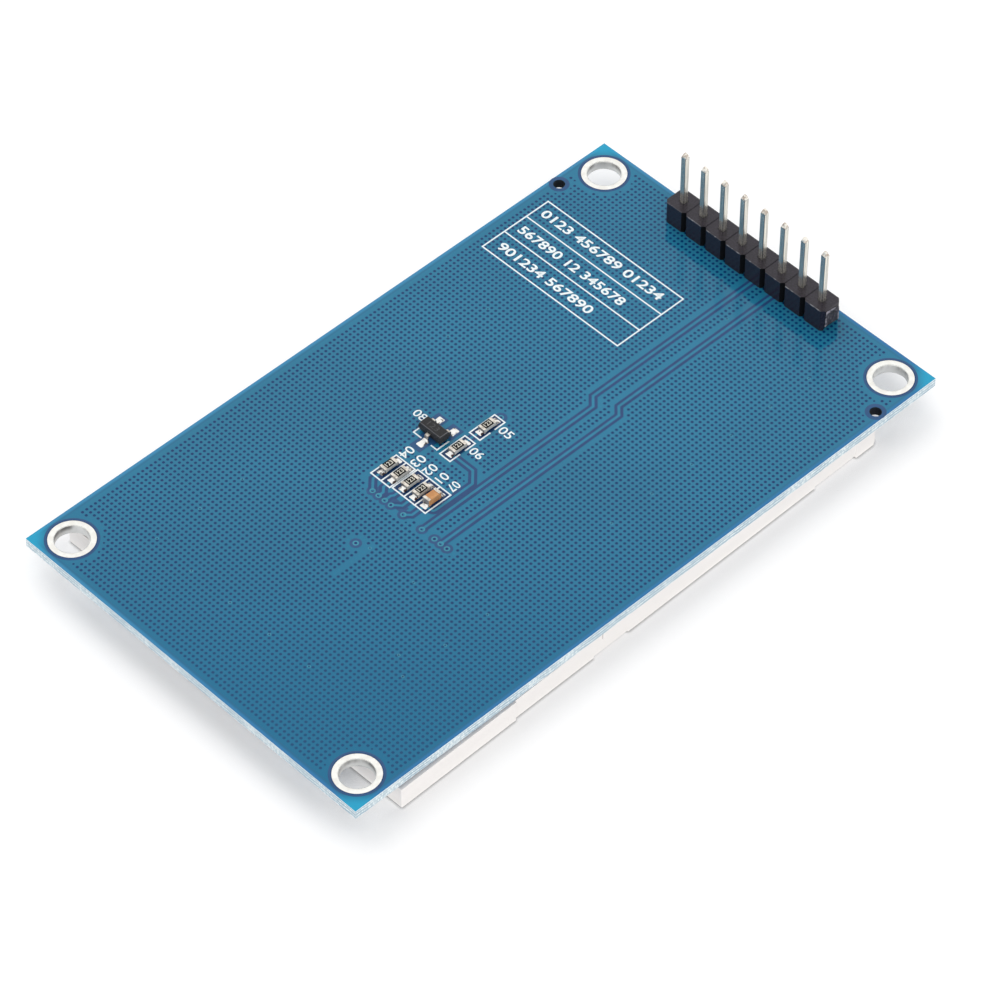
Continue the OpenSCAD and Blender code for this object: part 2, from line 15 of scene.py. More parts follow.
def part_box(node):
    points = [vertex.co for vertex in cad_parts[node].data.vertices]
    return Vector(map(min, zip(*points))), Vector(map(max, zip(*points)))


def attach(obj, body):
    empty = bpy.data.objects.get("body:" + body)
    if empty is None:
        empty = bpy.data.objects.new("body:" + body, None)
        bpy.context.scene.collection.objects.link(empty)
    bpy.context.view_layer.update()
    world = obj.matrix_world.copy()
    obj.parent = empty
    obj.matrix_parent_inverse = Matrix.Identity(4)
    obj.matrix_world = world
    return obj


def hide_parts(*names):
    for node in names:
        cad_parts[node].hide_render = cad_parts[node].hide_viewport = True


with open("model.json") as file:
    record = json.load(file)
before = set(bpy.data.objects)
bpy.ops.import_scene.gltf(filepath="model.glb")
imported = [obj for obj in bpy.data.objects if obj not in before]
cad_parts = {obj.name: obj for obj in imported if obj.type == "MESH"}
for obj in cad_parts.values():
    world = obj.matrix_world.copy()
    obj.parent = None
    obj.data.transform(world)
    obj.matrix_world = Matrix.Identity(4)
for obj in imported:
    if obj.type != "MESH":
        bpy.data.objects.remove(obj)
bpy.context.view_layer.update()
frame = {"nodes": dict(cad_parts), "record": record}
random.seed(24)

MM = 0.001
NODES = frame["nodes"]
scene = bpy.context.scene


# ---------------------------------------------------------------- places, read from the frame

def box_mm(node):
    """Lowest and highest corner of a CAD node, in millimetres."""
    low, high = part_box(node)
    return low / MM, high / MM


def centre_mm(node):
    low, high = box_mm(node)
    return (low + high) / 2


def numbered(stem):
    """The CAD nodes whose names are this stem and a number, in order."""
    found = [n for n in NODES if n.startswith(stem) and n[len(stem):].isdigit()]
    return sorted(found, key=lambda n: int(n[len(stem):]))


board_low, board_high = box_mm("board")
half_w, half_l = board_high.x, board_high.y
top, bottom = board_high.z, board_low.z

# Mounting holes: their places from the record, their lands from the plating's box
hole_dims = next(m["dims"] for m in frame["record"]["mounts"] if m["name"] == "board_holes")
hole_r = hole_dims["hole_r_mm"]
hole_x, hole_y = hole_dims["spacing_x_mm"] / 2, hole_dims["spacing_y_mm"] / 2
land_r = box_mm("hole_platings")[1].x - hole_x
HOLES = [(sx * hole_x, sy * hole_y) for sx in (-1, 1) for sy in (-1, 1)]

# Locating holes, and their distances from the long edges and from the header-end edge
LOCATING_R, LOCATING_SIDE, LOCATING_END = 0.575, 0.96, 6.97
LOCATING = [(sx * (half_w - LOCATING_SIDE), half_l - LOCATING_END) for sx in (-1, 1)]

PINS = numbered("header_pin_")
RESISTORS = numbered("resistor_")
CHIPS = RESISTORS + ["capacitor"]
pin_at = [centre_mm(p) for p in PINS]
header_y = pin_at[0].y
pin_top = box_mm(PINS[0])[1].z
chip_at = {n: centre_mm(n) for n in CHIPS + ["regulator"]}
chip_w = (box_mm("resistor_1")[1] - box_mm("resistor_1")[0]).x
chip_l = (box_mm("resistor_caps_1")[1] - box_mm("resistor_caps_1")[0]).y


def panel_axes():
    """The matrix from the panel's own axes to the module's: the panel sits a little askew."""
    corners = [v.co / MM for v in NODES["array_glass"].data.vertices]
    left = min(corners, key=lambda p: p.x + p.y)
    right = max(corners, key=lambda p: p.x - p.y)
    middle = centre_mm("array_glass")
    turn = math.atan2(right.y - left.y, right.x - left.x)
    return Matrix.Translation((middle.x, middle.y, 0)) @ Matrix.Rotation(turn, 4, "Z")


PANEL = panel_axes()
panel_turn = PANEL.to_euler().z


# ---------------------------------------------------------------- building a finish

def srgb(red, green, blue, less=0.0):
    """A colour given in 0..255 screen values, as linear values, less what the gloss will add to it."""
    def linear(value):
        value /= 255
        return value / 12.92 if value <= 0.04045 else ((value + 0.055) / 1.055) ** 2.4
    return tuple(max(linear(v) - less, 0.0) for v in (red, green, blue)) + (1.0,)


class Nodes:
    """Builds a tree of shader nodes. A value may be a number, a colour or another node's socket."""

    def __init__(self, tree):
        self.tree = tree
        tree.nodes.clear()

    def feed(self, socket, value):
        if isinstance(value, bpy.types.NodeSocket):
            self.tree.links.new(value, socket)
        else:
            socket.default_value = value

    def add(self, kind, settings=None, **inputs):
        node = self.tree.nodes.new("ShaderNode" + kind)
        for key, value in (settings or {}).items():
            setattr(node, key, value)
        for key, value in inputs.items():
            self.feed(node.inputs[key.replace("_", " ")], value)
        return node

    def result(self, kind, *values, **settings):
        """What a node gives whose inputs are fed in their order."""
        node = self.add(kind, settings)
        for socket, value in zip(node.inputs, values):
            self.feed(socket, value)
        return node.outputs[0]

    def math(self, operation, *values):
        return self.result("Math", *values, operation=operation)

    def times(self, first, second):
        return self.math("MULTIPLY", first, second)

    def less(self, value, taken):
        return self.math("SUBTRACT", value, taken)

    def size(self, value):
        return self.math("ABSOLUTE", value)

    def off(self, value, place):
        """How far a value lies from a place, to either side."""
        return self.size(self.less(value, place))

    def wave(self, operation, value, length_mm):
        """The sine or cosine of a value that repeats at a length."""
        return self.math(operation, self.times(value, 2 * math.pi / (length_mm * MM)))

    def blend(self, share, first, second):
        """A mix of two colours."""
        node = self.add("Mix", {"data_type": "RGBA"})
        self.feed(node.inputs[0], share)
        self.feed(node.inputs[6], first)
        self.feed(node.inputs[7], second)
        return node.outputs[2]


class Finish(Nodes):
    """A material under construction, with its patterns on the piece's own coordinates."""

    def __init__(self, name):
        self.material = bpy.data.materials.new(name)
        self.material.use_nodes = True
        super().__init__(self.material.node_tree)
        coordinates = self.add("TexCoord")
        self.place = coordinates.outputs["Object"]
        self.x, self.y, self.z = self.axes(self.place)
        self.face_x, self.face_y, self.upright = self.axes(coordinates.outputs["Normal"])

    def axes(self, vector):
        return self.add("SeparateXYZ", Vector=vector).outputs

    def on_panel(self):
        """The piece's coordinates along the panel's own axes."""
        middle = PANEL.to_translation() * MM
        return self.add("Mapping", {"vector_type": "TEXTURE"}, Vector=self.place,
                        Location=middle, Rotation=(0, 0, panel_turn)).outputs[0]

    def ramp(self, value, low, high, to_low=0.0, to_high=1.0):
        """A smooth step of value from low to high."""
        return self.add("MapRange", {"interpolation_type": "SMOOTHSTEP"}, Value=value, From_Min=low,
                        From_Max=high, To_Min=to_low, To_Max=to_high).outputs[0]

    def fall(self, value, low, high):
        """A smooth step down from 1 to 0."""
        return self.ramp(value, low, high, 1.0, 0.0)

    def rise_mm(self, value, low, high):
        """A smooth step up between two places in millimetres."""
        return self.ramp(value, low * MM, high * MM)

    def fall_mm(self, value, low, high):
        return self.ramp(value, low * MM, high * MM, 1.0, 0.0)

    def noise(self, per_mm, detail=2.0, stretch=(1, 1, 1), low=0.35, high=0.65, to_low=0.0, to_high=1.0):
        """Even noise of so many grains per millimetre, spread to the given range."""
        spread = self.add("Mapping", Vector=self.place, Scale=stretch).outputs[0]
        grain = self.add("TexNoise", Vector=spread, Scale=per_mm / MM, Detail=detail).outputs["Fac"]
        return self.ramp(grain, low, high, to_low, to_high)

    def mottle(self, colour, amount, per_mm, detail=2.0, stretch=(1, 1, 1)):
        """A colour that runs a little darker and lighter in patches."""
        dark = tuple(c * (1 - amount) for c in colour[:3]) + (1.0,)
        light = tuple(min(c * (1 + amount), 1.0) for c in colour[:3]) + (1.0,)
        return self.blend(self.noise(per_mm, detail, stretch), dark, light)

    def bump(self, height, depth_mm, under=None):
        node = self.add("Bump", Height=height, Distance=depth_mm * MM)
        if under is not None:
            self.feed(node.inputs["Normal"], under)
        return node.outputs[0]

    def grain(self, per_mm, detail, depth_mm):
        """A skin of even grain."""
        return self.bump(self.noise(per_mm, detail), depth_mm)

    def finished(self, shader):
        self.add("OutputMaterial", Surface=shader)
        return self.material

    def surface(self, colour, rough, skin, metal=0.0, gloss=0.5):
        shader = self.add("BsdfPrincipled", Base_Color=colour, Roughness=rough, Normal=skin,
                          Metallic=metal, Specular_IOR_Level=gloss)
        return self.finished(shader.outputs[0])


# ---------------------------------------------------------------- camera, light and floor

def stand_off(azimuth, elevation):
    """The direction from the module to something that stands at those angles, in degrees."""
    a, e = math.radians(azimuth), math.radians(elevation)
    return Vector((math.sin(a) * math.cos(e), -math.cos(a) * math.cos(e), math.sin(e)))


def add_camera():
    azimuth, elevation, roll = 45.757, 48.093, math.radians(-0.167)
    distance, lens = 444.62, 179.67
    target = Vector((4.557, -2.78, top))
    back = stand_off(azimuth, elevation)
    level = stand_off(azimuth + 90, 0)
    up = back.cross(level)
    right = level * math.cos(roll) - up * math.sin(roll)
    camera = bpy.data.objects.new("camera", bpy.data.cameras.new("camera"))
    scene.collection.objects.link(camera)
    turned = Matrix((right, back.cross(right), back)).transposed().to_4x4()
    camera.matrix_world = Matrix.Translation((target + back * distance) * MM) @ turned
    camera.data.lens = lens
    camera.data.sensor_width = 36
    camera.data.clip_start, camera.data.clip_end = 0.01, 20
    scene.camera = camera


def backdrop_share(nodes):
    """1 for the rays that see the backdrop: the camera's, and those mirrored or let through."""
    rays = nodes.add("LightPath").outputs
    seen = rays["Is Camera Ray"]
    for name in ("Is Glossy Ray", "Is Transmission Ray"):
        seen = nodes.math("MAXIMUM", seen, rays[name])
    return seen, rays


def add_world(level):
    """An even studio: it lights at the given level and looks plain white."""
    world = bpy.data.worlds.new("studio")
    world.use_nodes = True
    scene.world = world
    nodes = Nodes(world.node_tree)
    seen, _ = backdrop_share(nodes)
    strength = nodes.add("MapRange", Value=seen, To_Min=level, To_Max=1.0).outputs[0]
    light = nodes.result("Background", (1, 1, 1, 1), strength)
    nodes.add("OutputWorld", Surface=light)


def add_sun(name, azimuth, elevation, strength, spread):
    """A wide soft light from that side of the module. It isn't mirrored."""
    sun = bpy.data.objects.new(name, bpy.data.lights.new(name, "SUN"))
    scene.collection.objects.link(sun)
    sun.rotation_euler = stand_off(azimuth, elevation).to_track_quat("Z", "Y").to_euler()
    sun.data.energy = strength
    sun.data.angle = math.radians(spread)
    sun.visible_glossy = False


# The floor's glow, by how open the floor is to the sky there: painted shade that deepens near the module and
# lightens again close under its edge
OPEN_SKY_REACH = 7
SHUT, OPEN = 0.14, 0.92
GLOW_STEPS = ((0.22, 1.0), (0.38, 1.0), (0.52, 0.5), (0.68, 0.8))
GLOW = 0.42
# Reach of the fine shade where the module touches the floor, and the ray length that counts as a touch
FOOT_REACH, TOUCH = 0.28, 1.6


def pale_floor():
    """Pale floor with painted shade near the module, clear from below and where the display face touches it,
    so that the underside is lit.
    """
    f = Finish("pale_floor")
    seen, rays = backdrop_share(f)
    tone = f.blend(seen, (0.86, 0.86, 0.865, 1), (0.66, 0.66, 0.665, 1))
    foot = f.add("AmbientOcclusion", {"samples": 8}, Color=tone, Distance=FOOT_REACH * MM)
    sky = f.add("AmbientOcclusion", {"samples": 12}, Distance=OPEN_SKY_REACH * MM)
    bright = f.add("ValToRGB", Fac=sky.outputs["AO"])
    steps = bright.color_ramp.elements
    steps[0].position, steps[1].position = SHUT, OPEN
    for position, level in GLOW_STEPS:
        steps.new(position).color = (level, level, level, 1)
    matt = f.result("BsdfDiffuse", foot.outputs["Color"])
    strength = f.times(f.times(seen, GLOW), foot.outputs["AO"])
    shade = f.result("AddShader", matt, f.result("Emission", bright.outputs["Color"], strength))
    touching = f.math("LESS_THAN", rays["Ray Length"], TOUCH * MM)
    clear = f.math("MAXIMUM", touching, f.add("NewGeometry").outputs["Backfacing"])
    return f.finished(f.result("MixShader", clear, shade, f.result("BsdfTransparent")))


def add_floor():
    """A plain floor just under the display face, which keeps the module's shadow."""
    bm = bmesh.new()
    bmesh.ops.create_grid(bm, x_segments=1, y_segments=1, size=1.5)
    bmesh.ops.translate(bm, verts=bm.verts, vec=(0, 0, -0.02 * MM))
    mesh = bpy.data.meshes.new("floor")
    bm.to_mesh(mesh)
    bm.free()
    mesh.materials.append(pale_floor())
    floor = bpy.data.objects.new("floor", mesh)
    scene.collection.objects.link(floor)


scene.view_settings.view_transform = "Standard"
add_camera()
add_world(0.68)
add_sun("back_light", azimuth=258, elevation=45, strength=1.05, spread=55)
add_sun("side_light", azimuth=56, elevation=12, strength=1.35, spread=80)
add_floor()


# ---------------------------------------------------------------- the module's finishes

def mask_colour(red, green, blue, less=0.028):
    """A colour of the mask, less the white that its gloss adds."""
    return srgb(red, green, blue, less)


# The second colour of the mask over copper is its painted-shade copy
MASK_ON_COPPER = mask_colour(59, 126, 158), mask_colour(49, 115, 150)
MASK_ON_LAMINATE = mask_colour(61, 86, 127)
# The rim band at the two long edges: a lit colour at one and a shaded one at the other, as painted light and
# shade
MASK_AT_EDGE = mask_colour(71, 141, 182), mask_colour(62, 122, 172)
MASK_AT_CORNER = mask_colour(54, 164, 202)
MASK_GLOSS = 0.34
MASK_ROUGH = 0.07
# Height of a light and a dark ply together, where the board is cut
PLY = 0.34


def mask_skin(f):
    """Bump of the mask: a slight orange peel over the glass weave."""
    peel = f.noise(0.9, 3)
    weave = f.noise(4.0, 1, stretch=(1, 0.35, 1))
    return f.bump(weave, 0.0012, f.bump(peel, 0.004))


def glossy_mask(f, tone):
    return f.surface(tone, MASK_ROUGH, mask_skin(f), gloss=MASK_GLOSS)


def cut_laminate(f):
    """The board's sawn sides: pale plies of glass-epoxy, crossed by the ends of the weave, with a painted
    highlight along their top edge.
    """
    waver = f.noise(0.5, 2, to_low=-0.06 * MM, to_high=0.06 * MM)
    level = f.math("ADD", f.less(f.z, top * MM), waver)
    plies = f.ramp(f.wave("COSINE", level, PLY), -0.7, 0.7)
    ends = f.noise(4.6, 1, stretch=(1, 1, 0.5), low=0.42, high=0.56)
    patches = f.noise(0.3, 3, low=0.35, high=0.6, to_low=0.25)
    tone = f.blend(f.times(patches, f.less(1.0, plies)), srgb(238, 247, 249), srgb(164, 188, 203))
    tone = f.blend(f.times(ends, 0.55), tone, srgb(166, 190, 204))
    # painted highlight: a bright band along the top edge of the cut sides
    upper = f.rise_mm(f.z, top - 0.12, top - 0.05)
    return f.blend(upper, tone, srgb(240, 249, 252))


def copper_skin(f):
    """Mask over copper, a little deeper in tone towards one corner of the board: painted shade."""
    # painted shade: the mask darkens towards the corner, to its shaded copy
    towards = f.rise_mm(f.less(f.x, f.y), -4, 48)
    near, painted_shade_copper = MASK_ON_COPPER
    return f.blend(towards, f.mottle(near, 0.05, 0.06, 3), painted_shade_copper)


def solder_mask():
    """Blue mask over copper, paler at the board's rim, where there is none, and the cut sides, with light
    and shade painted in at the rim, along the pour's edge and on the hole walls.
    """
    f = Finish("solder_mask")
    across, along = f.size(f.x), f.size(f.y)
    to_rim = f.math("MINIMUM", f.less(half_w * MM, across), f.less(half_l * MM, along))
    past_hole = f.math("ADD", f.less(across, hole_x * MM), f.less(along, hole_y * MM))
    # painted light and shade: the rim band runs from its lit colour at one long edge to its shaded one at
    # the other
    bare = f.blend(f.rise_mm(f.x, -half_w, half_w), *MASK_AT_EDGE)
    edge = f.blend(f.rise_mm(to_rim, 0.16, 0.46), bare, copper_skin(f))
    # painted shade: a darker line a little in from the rim, along the pour's edge
    pour_edge_shade = f.times(f.rise_mm(to_rim, 0.32, 0.42), f.fall_mm(to_rim, 0.48, 0.6))
    edge = f.blend(f.times(pour_edge_shade, 0.4), edge, srgb(40, 96, 134))
    skin = f.blend(f.rise_mm(past_hole, 2.6, 4.9), edge, MASK_AT_CORNER)
    # painted shade: the walls of the holes, away from the cut sides, are painted near black
    hole_wall_shade = f.rise_mm(to_rim, 0.1, 0.2)
    wall = f.blend(hole_wall_shade, cut_laminate(f), srgb(28, 34, 44))
    flat = f.ramp(f.size(f.upright), 0.45, 0.7)
    rough = f.ramp(flat, 0, 1, 0.75, MASK_ROUGH)
    return f.surface(f.blend(flat, wall, skin), rough, mask_skin(f), gloss=MASK_GLOSS)


def pour_opening():
    """Mask in the pour's openings, paler towards the same corner of the board."""
    f = Finish("mask_in_opening")
    towards = f.rise_mm(f.less(f.x, f.y), 12, 48)
    return glossy_mask(f, f.blend(towards, mask_colour(47, 70, 112), mask_colour(47, 86, 124)))


def mask_tone(name, colour):
    """The same glossy mask over something else than full copper."""
    f = Finish(name)
    return glossy_mask(f, f.mottle(colour, 0.05, 0.8))


def silk_ink():
    """White printed ink, a little thin and uneven."""
    f = Finish("silk_ink")
    ink = f.mottle(srgb(238, 246, 250), 0.07, 6, 3)
    return f.surface(ink, 0.6, f.grain(9, 2, 0.004))


def joint_solder():
    """Solder of the through-hole and tail joints, with a soft uneven sheen."""
    f = Finish("joint_solder")
    tone = f.mottle(srgb(226, 224, 220), 0.05, 2.4, 3)
    sheen = f.noise(4.08, 3, to_low=0.225, to_high=0.39)
    return f.surface(tone, sheen, f.grain(2.4, 4, 0.02), metal=1.0)


def tinned_land():
    """Tinned land: warm white on its face, and greyer up the lining of its hole, as painted shade."""
    f = Finish("tinned_land")
    lining = f.fall(f.size(f.upright), 0.25, 0.6)
    bright = srgb(226, 226, 224)
    # painted shade: grey patches on the upper lining of the hole, turning bright lower down
    grey = f.blend(f.noise(0.7, 3, stretch=(1, 1, 0.3)), srgb(132, 131, 129), bright)
    depth = f.blend(f.rise_mm(f.z, bottom + 0.3, top - 0.2), bright, grey)
    tone = f.blend(lining, f.mottle(srgb(252, 250, 244), 0.06, 1.6, 3), depth)
    return f.surface(tone, f.noise(2.7, 3, to_low=0.3, to_high=0.5), f.grain(1.6, 4, 0.02), metal=1.0)


def solder_metal():
    """Bright solder, its steep flanks darkened in patches by a painted reflection of the dark board and
    chips, with dark streaks that are partly oxide and partly painted reflection.
    """
    f = Finish("solder")
    # painted reflection: dark patches on the steep flanks; the streaks are oxide and painted reflection
    # together
    painted_dark_flank = f.times(f.fall(f.upright, 0.6, 0.93), f.noise(2.4, 3, low=0.4, high=0.5))
    oxide_and_reflection_streak = f.times(f.noise(2.2, 4, low=0.55, high=0.62), 0.8)
    dark = f.math("MAXIMUM", painted_dark_flank, oxide_and_reflection_streak)
    tone = f.blend(dark, f.mottle(srgb(250, 249, 245), 0.04, 2, 3), srgb(66, 56, 54))
    return f.surface(tone, f.noise(3, 3, to_low=0.14, to_high=0.28), f.grain(1.8, 4, 0.045), metal=1.0)


def cap_plating(name, metal):
    """Dipped tin on a chip's ends: warm white, greyer and blotched on its flanks as painted shade."""
    f = Finish(name)
    # painted shade: the steep flanks turn grey in blotches
    steep = f.fall(f.size(f.upright), 0.5, 0.9)
    tone = f.blend(f.noise(2.8, 4, low=0.42, high=0.62), srgb(236, 229, 218), srgb(196, 188, 176))
    painted_dark_flank = f.times(steep, f.noise(2.2, 3, low=0.35, high=0.6, to_low=0.35))
    tone = f.blend(painted_dark_flank, tone, srgb(140, 138, 138))
    return f.surface(tone, 0.36, f.grain(5, 4, 0.012), metal=metal)


def pin_plating():
    """Bright tin on drawn brass: fine light and dark lines along the pin, a painted reflection darkening its
    rounded corners, and a dull pinched tip.
    """
    f = Finish("pin_plating")
    lines = f.noise(9, 2, stretch=(1, 1, 0.03), low=0.3, high=0.7)
    tone = f.blend(lines, srgb(188, 186, 180), srgb(246, 241, 228))
    tip = f.rise_mm(f.z, pin_top - 0.62, pin_top - 0.5)
    # painted reflection: the rounded corners of the pin are darkened
    painted_dark_corner = f.ramp(f.times(f.size(f.face_x), f.size(f.face_y)), 0.12, 0.34)
    tone = f.blend(f.times(painted_dark_corner, 0.8), tone, srgb(52, 58, 62))
    pinched = f.blend(f.noise(3.5, 3, low=0.4, high=0.6), srgb(250, 246, 236), srgb(196, 182, 168))
    dented = f.bump(f.times(tip, f.noise(3, 3)), 0.05, f.bump(lines, 0.0015))
    return f.surface(f.blend(tip, tone, pinched), f.ramp(tip, 0, 1, 0.2, 0.3), dented, metal=0.8)


def header_plastic():
    """Black glass-filled moulding: a painted highlight along its upper front edges, brighter at nicks, and
    torn where it was snapped off.
    """
    f = Finish("header_plastic")
    low, high = box_mm("header_housing")
    below_top = f.less(high.z * MM, f.z)
    behind_front = f.less(f.y, low.y * MM)
    # painted highlight along the upper front edges, varied by noise into brighter nicks
    edge = f.times(f.fall_mm(below_top, 0.03, 0.09), f.fall_mm(behind_front, 0.0, 0.1))
    edge_highlight_and_nicks = f.times(edge, f.noise(1.5, 4, low=0.5, high=0.66, to_low=0.1, to_high=0.7))
    tone = f.blend(f.noise(5, 4), (0.012, 0.0085, 0.016, 1), (0.020, 0.0155, 0.026, 1))
    tone = f.blend(edge_highlight_and_nicks, tone, (0.42, 0.42, 0.44, 1))
    # the torn end: a pale rim round the web, pale specks, and a dark pit
    torn = f.rise_mm(f.x, high.x - 0.06, high.x - 0.03)
    aside = f.less(f.y, header_y * MM)
    web_rim = f.math("MAXIMUM", f.rise_mm(f.size(aside), 0.66, 0.86),
                     f.rise_mm(f.z, high.z - 0.5, high.z - 0.3))
    flecked_rim = f.times(web_rim, f.noise(2.5, 3, low=0.38, high=0.5))
    specks = f.noise(3.2, 4, low=0.56, high=0.7, to_high=0.35)
    pale = f.times(torn, f.math("MAXIMUM", flecked_rim, specks))
    tone = f.blend(torn, tone, f.mottle((0.036, 0.032, 0.042, 1), 0.5, 4, 3))
    tone = f.blend(pale, tone, (0.40, 0.37, 0.42, 1))
    to_pit = f.math("ADD", f.off(aside, 0.12 * MM), f.off(below_top, 0.75 * MM))
    pit = f.times(torn, f.fall_mm(to_pit, 0.16, 0.3))
    tone = f.blend(pit, tone, (0.005, 0.004, 0.006, 1))
    smooth = f.bump(f.noise(7, 4, stretch=(0.3, 1, 1)), 0.0025)
    rough = f.bump(f.times(torn, f.noise(4, 4)), 0.12, smooth)
    return f.surface(tone, f.ramp(torn, 0, 1, 0.2, 0.6), rough)


def moulded_epoxy():
    """Matt black epoxy of a small regulator: a painted highlight along its upper edges, and sides painted
    lighter than its top.
    """
    f = Finish("moulded_epoxy")
    tone = f.blend(f.noise(14, 4), (0.007, 0.007, 0.008, 1), (0.014, 0.014, 0.015, 1))
    # painted highlight along the upper edges, where the faces turn from top to side
    edge = f.times(f.ramp(f.upright, 0.3, 0.5), f.fall(f.upright, 0.8, 0.97))
    # painted light: the sides are painted lighter than the top
    side = f.fall(f.size(f.upright), 0.3, 0.45)
    tone = f.blend(side, tone, f.mottle((0.026, 0.026, 0.028, 1), 0.3, 9))
    tone = f.blend(f.times(edge, f.noise(3, 3, to_low=0.6)), tone, (0.19, 0.19, 0.205, 1))
    return f.surface(tone, 0.5, f.grain(22, 3, 0.006), gloss=0.4)


def glazed(name, colour, rough, grain_mm, amount=0.05, depth_mm=0.003, gloss=0.5):
    """Plain plastic, ceramic or film with fine grain in its colour and skin."""
    f = Finish(name)
    tone = f.mottle(colour, amount, grain_mm, 3)
    return f.surface(tone, rough, f.grain(grain_mm * 2, 3, depth_mm), gloss=gloss)


def layered_ceramic():
    """Tan capacitor ceramic with faint level layers."""
    f = Finish("tan_ceramic")
    layers = f.noise(1.2, 2, stretch=(1, 1, 14))
    tone = f.blend(layers, srgb(192, 136, 88, 0.02), srgb(214, 160, 108, 0.02))
    return f.surface(tone, 0.42, f.grain(12, 3, 0.004))


def frame_plastic():
    """White moulded polycarbonate of the backlight frame, with faint flow marks."""
    f = Finish("white_frame")
    tone = f.mottle((0.955, 0.92, 0.897, 1), 0.02, 0.25, 3, stretch=(1, 0.2, 2))
    height = f.noise(2.5, 3, stretch=(1, 0.4, 2))
    return f.surface(tone, 0.42, f.bump(height, 0.006))


def front_film():
    """Front polariser, switched off: near black, with the active area a shade off its black border."""
    f = Finish("front_polariser")
    x, y, _ = f.axes(f.on_panel())
    active_w, active_l, dot_pitch = 36.7, 48.9, 0.153
    active_y = centre_mm("front_polariser").y - PANEL.to_translation().y
    side = f.less(active_w / 2 * MM, f.size(x))
    end = f.less(active_l / 2 * MM, f.off(y, active_y * MM))
    inside = f.rise_mm(f.math("MINIMUM", side, end), -0.02, 0.02)
    lines = f.math("MAXIMUM", f.wave("SINE", x, dot_pitch), f.wave("SINE", y, dot_pitch))
    active = f.blend(f.ramp(lines, 0.85, 1.0), (0.020, 0.022, 0.026, 1), (0.034, 0.037, 0.043, 1))
    tone = f.blend(inside, (0.004, 0.004, 0.005, 1), active)
    return f.surface(tone, f.noise(0.05, 2, to_low=0.07, to_high=0.1), f.grain(0.15, 1, 0.004))


def ledge_glass():
    """Array glass: dark, with the fine metal leads that fan in to the driver chip and the flex."""
    f = Finish("array_glass")
    x, y, _ = f.axes(f.on_panel())
    chip_y = centre_mm("driver_chip").y - PANEL.to_translation().y
    fan = f.math("DIVIDE", x, f.math("ADD", 1.0, f.times(40.0, f.less(y, chip_y * MM))))
    metal = f.ramp(f.wave("SINE", fan, 0.22), 0.1, 0.5)
    tone = f.blend(metal, (0.05, 0.062, 0.06, 1), (0.21, 0.215, 0.2, 1))
    return f.surface(f.blend(f.noise(0.3, 2), tone, (0.07, 0.08, 0.08, 1)), 0.06, f.bump(metal, 0.001))


def border_glass():
    """Colour-filter glass: its rim shows as a dark green-black edge round the polariser."""
    f = Finish("colour_glass")
    flat = f.ramp(f.size(f.upright), 0.3, 0.6)
    tone = f.blend(flat, f.mottle((0.10, 0.16, 0.15, 1), 0.2, 0.8), (0.006, 0.008, 0.009, 1))
    return f.surface(tone, 0.05, f.grain(0.4, 2, 0.002))


def flex_film():
    """Amber polyimide with copper tracks running along the tail under its cover film."""
    f = Finish("polyimide_flex")
    x, _, _ = f.axes(f.on_panel())
    copper = f.ramp(f.wave("SINE", x, 0.8), -0.25, 0.05)
    amber = f.mottle((0.36, 0.15, 0.025, 1), 0.12, 0.6, 3)
    tone = f.blend(copper, amber, f.mottle((0.56, 0.26, 0.07, 1), 0.08, 1.0, 2))
    skin = f.bump(copper, 0.012, f.grain(1.0, 2, 0.006))
    return f.surface(tone, 0.24, skin)


